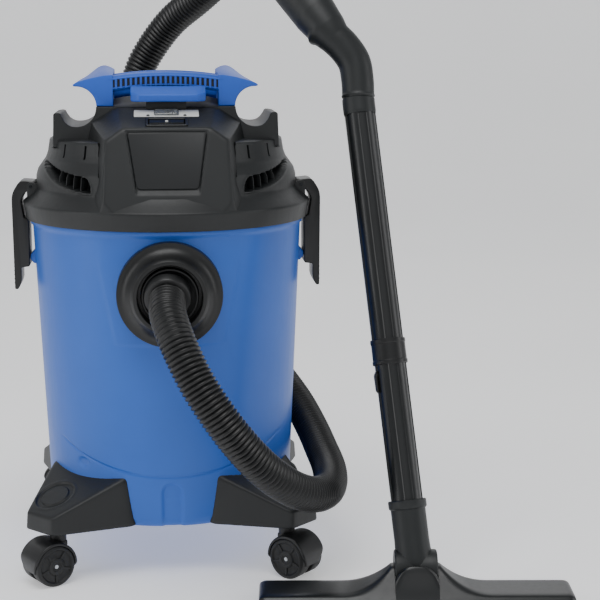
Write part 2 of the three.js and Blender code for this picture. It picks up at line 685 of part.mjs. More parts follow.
// ---------------------------------------------------------------- latch
function latch(s) {
  const [px, pz] = [latchPinX, latchPinZ];
  const out = rimTopR + latchOutX;
  const inn = rimTopR + 1.5;
  const tip = pz - latchLength - 8;
  const tooth = lugZ - 9 - 1;
  const outline = [[px - 6, pz + 1], [px - 4, pz + 6], [px + 8, pz + 6], [out - 2, pz - 8], [out, pz - 14],
    [out - 1, tip], [out - 5, tip], [out - 8, tip + 7], [inn - 2, tip + 12], [inn - 2, tooth - 6],
    [toothX, tooth - 7], [toothX, tooth - 1], [inn, tooth + 6], [inn, rimTopZ + 1], [px + 6, pz - 6], [px, pz - 6], [px - 5, pz - 4]];
  const body = slab(outline.map(([x, z]) => [s * x, z]), -latchWidth / 2, latchWidth / 2);
  return cut(body, rodY(latchPinR + gap, -latchWidth, latchWidth, s * px, pz, 10));
}

// ---------------------------------------------------------------- wand
const down = new THREE.Vector3(0, 0, 1);
const wand = new THREE.Group();
wand.position.set(pivotAt.x, pivotAt.y, pivotAt.z);
wand.rotation.set(-radians(wandLeanBack), radians(wandLeanSide), 0, 'XYZ');
model.add(wand);
wand.updateMatrixWorld();

function inWand(point) {
  return wand.worldToLocal(new THREE.Vector3(...point)).toArray();
}

const socketTop = 80;
const lowerStart = 34;
const lowerEnd = lowerStart + lowerTubeLength - 14;
const couplingStart = lowerEnd - couplingLength / 2 + 6;
const upperStart = lowerEnd + gap;
const upperEnd = upperStart + upperTubeLength;
const gripStart = upperEnd - 22;

// a piece square to the nozzle, with its middle on the pivot, seen from the wand
function fromNozzle(body) {
  const turn = new THREE.Matrix4().makeRotationZ(radians(nozzleTurn)).setPosition(wand.position);
  return body.transform(wand.matrixWorld.clone().invert().multiply(turn).elements);
}

function nozzleNeck() {
  const r = tubeR + gap + socketWall;
  const tube = disc(r, 0, socketTop, 20);
  const rimTop = disc(r + 2, socketTop - 10, socketTop, 20);
  const barrel = fromNozzle(rodX(knuckleR, -knuckleHalf + gap, knuckleHalf - gap, 0, 0, 20));
  const pins = fromNozzle(rodX(5, -knuckleHalf - 6, knuckleHalf + 6, 0, 0, 12));
  const bore = disc(tubeR + gap, lowerStart - gap, socketTop + 1, 20);
  const passage = disc(tubeR - tubeWall, -knuckleR - 5, socketTop, 12);
  return cut(join(tube, rimTop, barrel, pins), bore, passage);
}

function tubeLength(z0, z1) {
  return tubeRing(tubeR - tubeWall, tubeR, z0, z1, 20);
}

function coupling() {
  return tubeRing(tubeR + gap, tubeR + 3, couplingStart, couplingStart + couplingLength, 20);
}

function tubeLug() {
  const z = couplingStart - 6;
  return hull([[-tubeR - gap, -6, z], [-tubeR - gap, 6, z], [-tubeR - 3, -5, z - 3], [-tubeR - 3, 5, z - 3],
    [-tubeR - gap, -6, z - 26], [-tubeR - gap, 6, z - 26], [-tubeR - 3, -5, z - 23], [-tubeR - 3, 5, z - 23]]);
}

function gripPath() {
  const bend = [[229, -96, 595.4], [225.5, -90, 616.7], [213.9, -85, 634.4]].map(inWand);
  return [[0, 0, gripStart], [0, 0, gripStart + 24], ...bend, inWand(gripBend), inWand([190, -74, 660])];
}

function gripCone(r0, r1, r2, start, end) {
  const a = new THREE.Vector3(...inWand(start));
  const b = new THREE.Vector3(...inWand(end));
  const along = b.clone().sub(a);
  const length = along.length();
  const turn = new THREE.Quaternion().setFromUnitVectors(down, along.clone().normalize());
  const cone = lathe([[0, 0], [r0, 0], [r1, 6], [r2, length * 0.45], [r2 - 1.5, length - 6],
    [r2 - 4, length], [0, length]], 16);
  const matrix = new THREE.Matrix4().compose(a, turn, new THREE.Vector3(1, 1, 1));
  return cone.transform(matrix.elements);
}

function wandGrip() {
  const outer = join(sweep(gripPath(), tubeR + 1.8, 8, 16),
    gripCone(tubeR + 1.8, gripR - 2, gripR + 2.5, gripBend, gripEnd));
  const bore = disc(tubeR + gap, gripStart - 2, upperEnd + gap, 18);
  const inner = join(sweep(gripPath(), tubeR - tubeWall, 8, 10), gripHollow());
  return cut(outer, bore, inner);
}

function gripHollow() {
  return sweep([inWand(gripBend), inWand([170, -56, 688]), inWand(beyondGrip(4))], tubeR - tubeWall, 2, 10);
}

function beyondGrip(distance) {
  const a = new THREE.Vector3(...gripBend);
  const b = new THREE.Vector3(...gripEnd);
  return b.clone().add(b.clone().sub(a).normalize().multiplyScalar(distance)).toArray();
}

// ---------------------------------------------------------------- nozzle
const nozzle = new THREE.Group();
nozzle.position.set(pivotAt.x, pivotAt.y, 0);
nozzle.rotation.z = radians(nozzleTurn);
model.add(nozzle);

const nozzleFront = -nozzleDepth * 0.68;
const nozzleBack = nozzleDepth * 0.32;

function nozzleBody() {
  const half = nozzleWidth / 2;
  const low = stripHeight * 0.6;
  const profile = [[nozzleFront, low], [nozzleFront, low + 5], [nozzleFront + 8, nozzleHeight - 3],
    [nozzleBack - 22, nozzleHeight], [nozzleBack - 6, nozzleHeight - 3], [nozzleBack, low + 6], [nozzleBack, low]];
  const main = bar(profile, -half, half);
  const z = pivotAt.z;
  const cheekTop = z + 5;
  const hump = hull([[-60, nozzleFront + 10, nozzleHeight - 8], [60, nozzleFront + 10, nozzleHeight - 8],
    [-60, nozzleBack - 8, nozzleHeight - 8], [60, nozzleBack - 8, nozzleHeight - 8],
    [-knuckleHalf - 7, -14, cheekTop], [knuckleHalf + 7, -14, cheekTop],
    [-knuckleHalf - 7, 12, cheekTop], [knuckleHalf + 7, 12, cheekTop],
    [-18, -knuckleR - 10, z + 14], [18, -knuckleR - 10, z + 14],
    [-20, -knuckleR - 3, z + 14], [20, -knuckleR - 3, z + 14]]);
  const seat = rodX(knuckleR + 2 * gap, -knuckleHalf, knuckleHalf, 0, z, 20);
  const swing = hull([[-knuckleHalf, -knuckleR + 2, z], [knuckleHalf, -knuckleR + 2, z],
    [-knuckleHalf, 60, z], [knuckleHalf, 60, z], [-knuckleHalf, -knuckleR - 3, z + 60],
    [knuckleHalf, -knuckleR - 3, z + 60], [-knuckleHalf, 60, z + 60], [knuckleHalf, 60, z + 60]]);
  const slot = block(-half + 16, half - 16, -14, 14, -1, nozzleHeight - 6);
  const pins = rodX(5 + gap, -knuckleHalf - 6 - gap, knuckleHalf + 6 + gap, 0, z, 12);
  const throat = disc(tubeR - tubeWall, 4, z, 12);
  const grooves = [nozzleFront + 8, nozzleBack - 12]
    .map((y) => block(-half + 8 - gap, half - 8 + gap, y - gap, y + 4 + gap, 0, stripHeight + gap));
  return cut(join(main, hump), seat, swing, slot, pins, throat, ...grooves);
}

function strip(y) {
  const half = nozzleWidth / 2;
  return block(-half + 8, half - 8, y, y + 4, 0, stripHeight);
}

// ---------------------------------------------------------------- assembly
piece('tub', tub(), 'blue');
piece('inlet_flange', inletFlange(), 'black');
piece('inlet_deflector', inletDeflector(), 'black');
for (const [tag, sx, sy] of [['front_left', -1, -1], ['front_right', 1, -1], ['rear_left', -1, 1], ['rear_right', 1, 1]]) {
  piece(`foot_${tag}`, foot(sx, sy), 'black');
}
addCaster('front_left', -1, -1, 212);
addCaster('front_right', 1, -1, 318);
addCaster('rear_left', -1, 1, 128);
addCaster('rear_right', 1, 1, 42);

piece('head_shell', shellWithDetail(), 'black');
piece('front_panel', onFace(panelOutline(-gap, -panelDeep + gap, -0.6)), 'panel');
piece('carry_handle', carryHandle(), 'blue');
piece('switch_bezel', switchBezel(), 'black');
piece('switch_rocker', rocker(), 'gloss');
piece('legend_strip', legendStrip(), 'pale');
piece('indicator_window', splashCover(), 'clear');
piece('cleaning_button', cleaningButton(), 'blue');
piece('base_plate', basePlate(), 'black');
piece('rim_gasket', rimGasket(), 'rubber');
piece('motor_housing', motorHousing(), 'grey');
piece('fan_rotor', fanRotor(), 'steel');
piece('float_cage', floatCage(), 'black');
piece('float_cup', floatCup(), 'pale');
piece('filter', filter(), 'paper');
piece('filter_retainer', filterRetainer(), 'black');
piece('cord_gland', cordGland(), 'rubber');
for (const [tag, s] of [['left', -1], ['right', 1]]) {
  piece(`latch_${tag}`, latch(s), 'black');
  const half = latchWidth / 2 + 5;
  piece(`latch_pin_${tag}`, rodY(latchPinR, -half, half, s * latchPinX, latchPinZ, 10), 'steel');
}

piece('hose_inlet_cuff', hoseInletCuff(), 'black');
piece('hose', hose(), 'rubber');
piece('hose_grip_cuff', hoseGripCuff(), 'black');
piece('nozzle_neck', nozzleNeck(), 'gloss', wand);
piece('wand_lower_tube', tubeLength(lowerStart, lowerEnd), 'gloss', wand);
piece('wand_upper_tube', tubeLength(upperStart, upperEnd), 'gloss', wand);
piece('wand_coupling', coupling(), 'black', wand);
piece('wand_lug', tubeLug(), 'black', wand);
piece('wand_grip', wandGrip(), 'gloss', wand);
piece('nozzle_body', nozzleBody(), 'gloss', nozzle);
piece('nozzle_front_strip', strip(nozzleFront + 8), 'bristle', nozzle);
piece('nozzle_rear_strip', strip(nozzleBack - 12), 'rubber', nozzle);

// the origin goes to the middle of the footprint, leaving the hose out of account
const hoseNames = ['hose', 'hose_inlet_cuff', 'hose_grip_cuff'];
model.updateMatrixWorld(true);
const footprint = new THREE.Box3();
model.traverse((item) => {
  if (item.isMesh && !hoseNames.includes(item.name)) footprint.expandByObject(item, true);
});
const middle = footprint.getCenter(new THREE.Vector3());
const whole = new THREE.Group();
model.position.set(-middle.x, -middle.y, -footprint.min.z);
whole.add(model);

export default whole;
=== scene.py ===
import bpy
import numpy as np
from mathutils import Matrix, Vector


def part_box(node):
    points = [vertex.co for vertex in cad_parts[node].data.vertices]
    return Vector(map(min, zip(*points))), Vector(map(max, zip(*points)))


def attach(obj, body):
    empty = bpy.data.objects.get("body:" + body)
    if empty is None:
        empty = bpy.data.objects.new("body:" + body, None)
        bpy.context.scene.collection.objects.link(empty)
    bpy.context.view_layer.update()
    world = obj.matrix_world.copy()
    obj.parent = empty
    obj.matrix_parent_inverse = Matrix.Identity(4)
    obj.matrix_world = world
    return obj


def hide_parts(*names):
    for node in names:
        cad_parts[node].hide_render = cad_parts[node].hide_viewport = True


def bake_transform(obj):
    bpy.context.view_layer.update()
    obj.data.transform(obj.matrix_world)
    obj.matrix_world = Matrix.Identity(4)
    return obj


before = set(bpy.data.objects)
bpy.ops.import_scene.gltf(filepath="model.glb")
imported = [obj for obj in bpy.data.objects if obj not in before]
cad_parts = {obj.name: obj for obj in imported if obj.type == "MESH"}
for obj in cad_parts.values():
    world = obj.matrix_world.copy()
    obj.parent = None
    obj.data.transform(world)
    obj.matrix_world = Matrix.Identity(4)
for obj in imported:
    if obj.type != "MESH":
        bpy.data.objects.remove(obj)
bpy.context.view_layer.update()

MM = 0.001
tub_low, tub_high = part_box("tub")
AXIS = np.array([(tub_low[0] + tub_high[0]) / 2, (tub_low[1] + tub_high[1]) / 2, 0.0])

# ---------------------------------------------------------------- main sizes
TUB_TOP_R, TUB_BASE_R = 168.5, 153.0
TUB_BASE_Z, TUB_TOP_Z = 60.0, 426.0
LIP_R = 171.0
BRIM_R = 178.2              # widest part of the head, over the drum's lip
BRIM_Z = 463.0              # where the head's body leaves the brim
DECK_Z = 563.0              # deck under the carry handle
HOOK_X, HOOK_R = 108.5, 24.0
BLOCK_LOW = (-163.0, 457.0)  # front block's face, (y, z) at the brim
BLOCK_TOP = (-136.0, 541.0)  # and at its upper edge
BLOCK_BACK = -50.0          # where the block runs out, inside the head
SLOPE_BACK = -62.0
HOOK_FRONT = -60.0          # upright front of the deck and the side hooks
INLET_Z = 351.0
PIVOT = np.array([278.0, -262.0, 39.0])
NOZZLE_TURN = -5.2
HOSE_D = 43.0
LATCH_PIN = (168.0, 464.0)
CASTER_X, CASTER_Y = 138.0, 152.0
CORNERS = [("front_left", -1, -1), ("front_right", 1, -1), ("rear_left", -1, 1), ("rear_right", 1, 1)]


def tub_radius(z):
    """The drum's outside radius, a straight taper with height."""
    return TUB_BASE_R + (TUB_TOP_R - TUB_BASE_R) * (z - TUB_BASE_Z) / (TUB_TOP_Z - TUB_BASE_Z)


# ---------------------------------------------------------------- shapes
def to_frame(points):
    """Millimetres from the drum's axis, turned to metres in the part's own frame."""
    return np.asarray(points, float).reshape(-1, 3) * MM + AXIS


def ease(value, start, end):
    """0 before start, 1 after end, and the cubic 3t^2 - 2t^3 between."""
    t = np.clip((value - start) / (end - start), 0, 1)
    return t * t * (3 - 2 * t)


def steps(*stops):
    """Stations from (start, end, spacing) stretches laid end to end, without repeats."""
    runs = [np.linspace(a, b, max(2, int(round(abs(b - a) / gap)) + 1)) for a, b, gap in stops]
    return np.unique(np.round(np.concatenate(runs), 4))


def soften(corners, radius, count=5):
    """Closed outline with each corner turned into a quadratic curve that starts and ends radius away."""
    c = np.asarray(corners, float)
    reach = np.broadcast_to(np.asarray(radius, float), c.shape[:-1])[..., None]

    def towards(other):
        leg = other - c
        size = np.maximum(np.linalg.norm(leg, axis=-1, keepdims=True), 1e-6)
        return c + leg * np.minimum(reach / size, 0.46)

    a = towards(np.roll(c, 1, axis=-2))[..., None, :]
    b = towards(np.roll(c, -1, axis=-2))[..., None, :]
    t = np.linspace(0, 1, count)[:, None]
    curve = (1 - t) ** 2 * a + 2 * t * (1 - t) * c[..., None, :] + t * t * b
    return curve.reshape(*c.shape[:-2], -1, c.shape[-1])


def curve_through(knots, count):
    """Centripetal Catmull-Rom curve through the knots, sampled at even distances along it."""
    k = np.asarray(knots, float)
    k = np.vstack([2 * k[0] - k[1], k, 2 * k[-1] - k[-2]])
    gaps = np.sqrt(np.linalg.norm(np.diff(k, axis=0), axis=1))
    t = np.concatenate([[0], np.cumsum(gaps)])
    u = np.linspace(t[1], t[-2], 40 * len(k))
    i = np.clip(np.searchsorted(t, u, side="right") - 1, 1, len(k) - 3)
    at = [t[i + d][:, None] for d in (-1, 0, 1, 2)]
    p = [k[i + d] for d in (-1, 0, 1, 2)]
    u = u[:, None]

    def mix(a, b, ta, tb):
        return (tb - u) / (tb - ta) * a + (u - ta) / (tb - ta) * b

    first = [mix(p[n], p[n + 1], at[n], at[n + 1]) for n in range(3)]
    second = [mix(first[n], first[n + 1], at[n], at[n + 2]) for n in range(2)]
    line = mix(second[0], second[1], at[1], at[2])
    run = np.concatenate([[0], np.cumsum(np.linalg.norm(np.diff(line, axis=0), axis=1))])
    want = np.linspace(0, run[-1], count)
    return np.stack([np.interp(want, run, line[:, axis]) for axis in range(3)], axis=1)


def carried_frames(path):
    """Unit tangents of a path, and two normals carried along it so that the section never twists."""
    ahead = np.gradient(path, axis=0)
    ahead /= np.linalg.norm(ahead, axis=1, keepdims=True)
    side = np.cross(ahead[0], [0.31, 0.17, 0.93])
    sides = np.empty_like(path)
    for n, direction in enumerate(ahead):
        side = side - direction * (side @ direction)
        side = side / np.linalg.norm(side)
        sides[n] = side
    return ahead, sides, np.cross(ahead, sides)


def wound(points, quads, caps):
    """The skin with its faces outwards: a closed skin of negative volume is wound the other way."""
    a, b, c, d = (points[quads[:, n]] for n in range(4))
    volume = np.einsum("ij,ij->", a, np.cross(b, c)) + np.einsum("ij,ij->", a, np.cross(c, d))
    for cap in caps:
        fan = points[cap]
        volume += np.einsum("ij,ij->", np.broadcast_to(fan[0], fan[1:-1].shape), np.cross(fan[1:-1], fan[2:]))
    if volume < 0:
        return points, quads[:, ::-1], [cap[::-1] for cap in caps]
    return points, quads, caps


def lofted(rings, closed=False):
    """Skin over a stack of rings, whose point (i, j) is ring i's j-th. Flat faces close the two ends,
    or a closed stack joins its last ring to its first."""
    n, m, _ = rings.shape
    i = np.arange(n if closed else n - 1)[:, None]
    j = np.arange(m)[None, :]
    after, beside = (i + 1) % n, (j + 1) % m
    quads = np.stack([i * m + j, i * m + beside, after * m + beside, after * m + j], axis=-1)
    caps = [] if closed else [np.arange(m)[::-1], (n - 1) * m + np.arange(m)]
    return wound(rings.reshape(-1, 3), quads.reshape(-1, 4), caps)


def turned(profile, columns=96, closed=False):
    """Surface of revolution: profile point (r, z) at angle a is (r cos a, r sin a, z)."""
    p = np.asarray(profile, float)
    a = np.linspace(0, 2 * np.pi, columns, endpoint=False)
    r, z = p[:, :1], p[:, 1:]
    rings = np.stack([r * np.cos(a), r * np.sin(a), z + 0 * a], axis=-1)
    return lofted(rings, closed)


def along(path, radius, columns=24, shape=None):
    """Tube: at each path point a circle of that radius, in the plane square to the path.
    shape multiplies the radius for each (path point, column)."""
    _, side, up = carried_frames(path)
    a = np.linspace(0, 2 * np.pi, columns, endpoint=False)
    r = np.broadcast_to(np.asarray(radius, float).reshape(-1, 1), (len(path), columns))
    r = r if shape is None else r * shape
    rings = (path[:, None] + r[..., None] * (np.cos(a)[None, :, None] * side[:, None]
                                             + np.sin(a)[None, :, None] * up[:, None]))
    return lofted(rings)


def slab(outline, start, end, rounding=1.5, count=4, axis="y"):
    """Outline carried from start to end across it. Near each end it shrinks by rounding along its own
    normals, following a quarter circle. The outline lies in xz, yz or xy as axis is y, x or z."""
    o = np.asarray(outline, float)
    if np.sum(o[:, 0] * np.roll(o[:, 1], -1) - np.roll(o[:, 0], -1) * o[:, 1]) < 0:
        o = o[::-1]
    edge = np.roll(o, -1, axis=0) - np.roll(o, 1, axis=0)
    normal = np.stack([edge[:, 1], -edge[:, 0]], axis=1)
    normal /= np.maximum(np.linalg.norm(normal, axis=1, keepdims=True), 1e-9)
    a = np.linspace(0, np.pi / 2, count + 1)
    shrink = rounding * np.concatenate([1 - np.sin(a), 1 - np.sin(a[::-1])])
    place = np.concatenate([start + rounding * (1 - np.cos(a)), end - rounding * (1 - np.cos(a[::-1]))])
    flat = o[None] - normal[None] * shrink[:, None, None]
    deep = np.broadcast_to(place[:, None], flat.shape[:2])
    order = {"y": (flat[..., 0], deep, flat[..., 1]), "x": (deep, flat[..., 0], flat[..., 1]),
             "z": (flat[..., 0], flat[..., 1], deep)}[axis]
    return lofted(np.stack(order, axis=-1))


def moved(skin, matrix):
    """The skin carried by a 4 by 4 matrix."""
    points, quads, caps = skin
    m = np.array(matrix, float)
    return points @ m[:3, :3].T + m[:3, 3], quads, caps


def mirrored(skin, axis=0):
    """The skin on the other side of the drum, with its faces wound back outwards."""
    points, quads, caps = skin
    flip = np.ones(3)
    flip[axis] = -1
    return points * flip, quads[:, ::-1], [cap[::-1] for cap in caps]


def both(skin):
    """The skin and its twin on the other side of the drum."""
    return [skin, mirrored(skin)]


def piece(name, skins, material, body, stands_for=(), crease=35.0):
    """Makes one object from closed skins, in the part's frame, riding on a body."""
    skins = skins if isinstance(skins, list) else [skins]
    loops, sizes, points, shift = [], [], [], 0
    for skin_points, quads, caps in skins:
        loops += [(quads + shift).ravel()] + [np.asarray(cap) + shift for cap in caps]
        sizes += [np.full(len(quads), 4)] + [np.array([len(cap)]) for cap in caps]
        points.append(skin_points)
        shift += len(skin_points)
    loops, sizes = np.concatenate(loops), np.concatenate(sizes)
    mesh = bpy.data.meshes.new(name)
    mesh.vertices.add(shift)
    mesh.vertices.foreach_set("co", to_frame(np.concatenate(points)).astype(np.float32).ravel())
    mesh.loops.add(len(loops))
    mesh.loops.foreach_set("vertex_index", loops.astype(np.int32))
    mesh.polygons.add(len(sizes))
    mesh.polygons.foreach_set("loop_start", np.concatenate([[0], np.cumsum(sizes)[:-1]]).astype(np.int32))
    mesh.polygons.foreach_set("use_smooth", np.ones(len(sizes), bool))
    mesh.update(calc_edges=True)
    mesh.validate()
    mesh.set_sharp_from_angle(angle=np.radians(crease))
    made = bpy.data.objects.new(name, mesh)
    bpy.context.scene.collection.objects.link(made)
    mesh.materials.append(material)
    if body:
        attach(made, body)
    if stands_for:
        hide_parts(*stands_for)
    return made


# ---------------------------------------------------------------- finishes
def linear(hex_colour):
    """An sRGB hex colour as the linear red, green, blue and alpha that a shader takes."""
    c = np.array([int(hex_colour[n:n + 2], 16) for n in (1, 3, 5)]) / 255
    c = np.where(c <= 0.04045, c / 12.92, ((c + 0.055) / 1.055) ** 2.4)
    return (*c.tolist(), 1.0)


def add(tree, kind, settings=None, links=None):
    """One node, with its sockets or properties set and its sockets linked."""
    node = tree.nodes.new(kind)
    for name, value in (settings or {}).items():
        if name in node.inputs:
            node.inputs[name].default_value = value
        else:
            setattr(node, name, value)
    for name, source in (links or {}).items():
        tree.links.new(source, node.inputs[name])
    return node


def surface(name, shader):
    """A material whose one shader is a Principled BSDF, and that shader's tree, node and coordinates."""
    made = bpy.data.materials.new(name)
    made.use_nodes = True
    tree = made.node_tree
    tree.nodes.clear()
    bsdf = add(tree, "ShaderNodeBsdfPrincipled", shader)
    add(tree, "ShaderNodeOutputMaterial", None, {"Surface": bsdf.outputs["BSDF"]})
    place = add(tree, "ShaderNodeTexCoord").outputs["Object"]
    return made, tree, bsdf, place


def per_metre(size_mm):
    """Noise scale whose features are about that many millimetres across."""
    return 1000.0 / size_mm


def tint(tree, bsdf, source, colours):
    """Base colour read from a ramp: colours are (position, hex)."""
    ramp = add(tree, "ShaderNodeValToRGB", None, {"Fac": source})
    ramp.color_ramp.elements[0].position, first = colours[0]
    ramp.color_ramp.elements[0].color = linear(first)
    ramp.color_ramp.elements[1].position, last = colours[-1]
    ramp.color_ramp.elements[1].color = linear(last)
    for position, colour in colours[1:-1]:
        ramp.color_ramp.elements.new(position).color = linear(colour)
    tree.links.new(ramp.outputs["Color"], bsdf.inputs["Base Color"])


def range_of(tree, source, low, high):
    """A 0 to 1 pattern brought to low to high."""
    settings = {"From Min": 0.25, "From Max": 0.75, "To Min": low, "To Max": high}
    return add(tree, "ShaderNodeMapRange", settings, {"Value": source}).outputs["Result"]


def noise(tree, place, size_mm, detail=2.0, roughness=0.5):
    settings = {"Scale": per_metre(size_mm), "Detail": detail, "Roughness": roughness}
    return add(tree, "ShaderNodeTexNoise", settings, {"Vector": place}).outputs["Fac"]


def bump(tree, bsdf, height, depth_mm, strength=1.0):
    node = add(tree, "ShaderNodeBump", {"Distance": depth_mm * MM, "Strength": strength}, {"Height": height})
    tree.links.new(node.outputs["Normal"], bsdf.inputs["Normal"])


def moulded(name, colours, gloss, grain_mm, grain_depth, ior=1.49, patch_mm=90.0, coat=0.0, scuff=0.06):
    """An injection-moulded plastic: colour drifts slowly with the flow of the melt, the tool's texture
    is a fine grain, and long faint scuffs change only the gloss."""
    made, tree, bsdf, place = surface(name, {"IOR": ior, "Coat Weight": coat, "Coat Roughness": 0.12})
    tint(tree, bsdf, noise(tree, place, patch_mm, 3.0), [(0.3, colours[0]), (0.7, colours[1])])
    stretched = add(tree, "ShaderNodeMapping", {"Scale": (1.0, 1.0, 0.12), "Rotation": (0.3, 0.5, 0.2)},
                    {"Vector": place}).outputs["Vector"]
    rubs = noise(tree, stretched, 5.0, 5.0, 0.7)
    tree.links.new(range_of(tree, rubs, gloss - scuff / 2, gloss + scuff), bsdf.inputs["Roughness"])
    bump(tree, bsdf, noise(tree, place, grain_mm, 2.0), grain_depth)
    return made


# Polypropylene coloured in the mass, from a polished tool: even bright blue, broad satin highlights.
blue_drum = moulded("polypropylene_blue_satin", ("#1f5bb8", "#2460c0"), 0.40, 1.6, 0.010, coat=0.05)
# The same resin in a tool with a finer polish: the handle and the paddle catch a tighter light.
blue_handle = moulded("polypropylene_blue_polished", ("#1f56bd", "#245bc5"), 0.42, 1.2, 0.008)
# Carbon-black polypropylene from a spark-eroded tool: a dull grey-black with a soft sheen. The real
# grain is about 0.2 mm, and it is drawn at 0.8 mm so that it shows.
black_shell = moulded("polypropylene_black_eroded", ("#111314", "#16191a"), 0.46, 0.8, 0.030)
# The same resin, smooth: clips, rings, yokes and cuffs.
black_smooth = moulded("polypropylene_black_smooth", ("#0a0b0c", "#0f1011"), 0.36, 1.4, 0.012)
# ABS from a mirror-polished tool: the wand, grip and nozzle, nearly black with crisp highlights.
black_gloss = moulded("abs_black_polished", ("#0a0c0d", "#0f1213"), 0.30, 2.2, 0.006, ior=1.5, coat=0.06)
# The same ABS from a blasted tool: grip, sockets and neck, a soft even black.
black_satin = moulded("abs_black_blasted", ("#0e1213", "#131718"), 0.46, 1.2, 0.014, ior=1.5)
# ABS panel, lightly frosted.
panel_abs = moulded("abs_charcoal_frosted", ("#0b0e10", "#0e1113"), 0.44, 0.9, 0.010, ior=1.5)
# Blow-moulded ethylene vinyl acetate: waxy black, brighter on each ridge's crown.
hose_eva = moulded("eva_black_waxy", ("#08090a", "#0d0e0f"), 0.36, 1.0, 0.012, ior=1.48)
# Polyurethane tread over nylon: soft black, slightly dusty from rolling.
tread = moulded("polyurethane_black_dusty", ("#0a0b0c", "#131415"), 0.50, 1.0, 0.030, patch_mm=12.0,
                scuff=0.2)
# Nitrile rubber seal: matt black.
seal_rubber = moulded("nitrile_black_matt", ("#0f0f10", "#161617"), 0.72, 0.9, 0.020)
# Undyed ABS housing around the motor: dull light grey.
grey_housing = moulded("abs_grey_matt", ("#84878b", "#90939a"), 0.50, 0.9, 0.020, ior=1.54)
# Printed polyester film: satin off-white with a faint fibre.
label_film = moulded("polyester_film_white", ("#d3d4cf", "#e2e2de"), 0.42, 0.5, 0.006, patch_mm=14.0,
                     coat=0.2)
white_float = moulded("polypropylene_white_natural", ("#d9dad6", "#e6e7e3"), 0.38, 1.4, 0.010)


def drawn_steel(name, colours):
    """Steel rod, drawn and then plated or blackened: faint rings from drawing in a cold metal."""
    made, tree, bsdf, place = surface(name, {"Metallic": 1.0})
    tint(tree, bsdf, noise(tree, place, 6.0, 3.0), [(0.35, colours[0]), (0.65, colours[1])])
    drawn = add(tree, "ShaderNodeMapping", {"Scale": (1.0, 0.05, 1.0)}, {"Vector": place}).outputs["Vector"]
    tree.links.new(range_of(tree, noise(tree, drawn, 0.8, 3.0), 0.22, 0.38), bsdf.inputs["Roughness"])
    bump(tree, bsdf, noise(tree, drawn, 0.6), 0.006)
    return made


def cast_aluminium():
    """Aluminium fan, die cast and tumbled: pale metal with a fine matt pitting."""
    made, tree, bsdf, place = surface("aluminium_tumbled", {"Metallic": 1.0})
    tint(tree, bsdf, noise(tree, place, 9.0, 3.0), [(0.3, "#b4b6b8"), (0.7, "#cfd1d2")])
    tree.links.new(range_of(tree, noise(tree, place, 2.0), 0.34, 0.5), bsdf.inputs["Roughness"])
    bump(tree, bsdf, noise(tree, place, 0.8, 3.0), 0.02)
    return made


def polyester_felt():
    """Needled polyester felt, folded into pleats: chalky off-white, darker where dust sits."""
    made, tree, bsdf, place = surface("polyester_felt_pleated", {
        "IOR": 1.5, "Roughness": 0.93, "Sheen Weight": 0.35, "Sheen Roughness": 0.5})
    tint(tree, bsdf, noise(tree, place, 16.0, 6.0, 0.65),
         [(0.3, "#b9b4a6"), (0.5, "#d3cfc2"), (0.7, "#dedacf")])
    fibres = add(tree, "ShaderNodeMapping", {"Scale": (1.0, 1.0, 0.35)}, {"Vector": place}).outputs["Vector"]
    bump(tree, bsdf, noise(tree, fibres, 0.7, 4.0), 0.10)
    return made


def nylon_bristle():
    """Dense black nylon bristle: a brushed matt face with upright strands 0.6 mm apart."""
    made, tree, bsdf, place = surface("nylon_black_bristle", {
        "IOR": 1.53, "Roughness": 0.8, "Sheen Weight": 0.2})
    strands = add(tree, "ShaderNodeMapping", {"Scale": (1.0, 1.0, 0.04)}, {"Vector": place}).outputs["Vector"]
    hairs = noise(tree, strands, 0.6, 2.0)
    tint(tree, bsdf, hairs, [(0.3, "#070707"), (0.7, "#242424")])
    bump(tree, bsdf, hairs, 0.25)
    return made


def clear_cover():
    """Polycarbonate, vacuum formed: clear, slightly grey, with mirror gloss and faint haze."""
    made, tree, bsdf, place = surface("polycarbonate_clear", {"IOR": 1.585, "Transmission Weight": 0.85})
    tint(tree, bsdf, noise(tree, place, 10.0, 3.0), [(0.3, "#b9bdbf"), (0.7, "#cdd1d2")])
    tree.links.new(range_of(tree, noise(tree, place, 3.0), 0.05, 0.14), bsdf.inputs["Roughness"])
    bump(tree, bsdf, noise(tree, place, 4.0), 0.02)
    return made


# Bright zinc on the caster axles, and black oxide on the clips' pins.
steel = drawn_steel("steel_zinc_plated", ("#a7abad", "#c3c6c7"))
steel_black = drawn_steel("steel_black_oxide", ("#26282a", "#323436"))
aluminium, felt = cast_aluminium(), polyester_felt()
bristle, window_clear = nylon_bristle(), clear_cover()


# ---------------------------------------------------------------- camera
def camera():
    """Stands in front of the drum a little above its handle, looking ten degrees down."""
    made = bpy.data.objects.new("camera", bpy.data.cameras.new("camera"))
    bpy.context.scene.collection.objects.link(made)
    made.location = to_frame([-14, -1900, 648])[0]
    made.rotation_euler = np.radians([80, 0, -5.5])
    made.data.sensor_width, made.data.lens = 36, 90
    made.data.clip_start, made.data.clip_end = 0.05, 50
    bpy.context.scene.camera = made


camera()


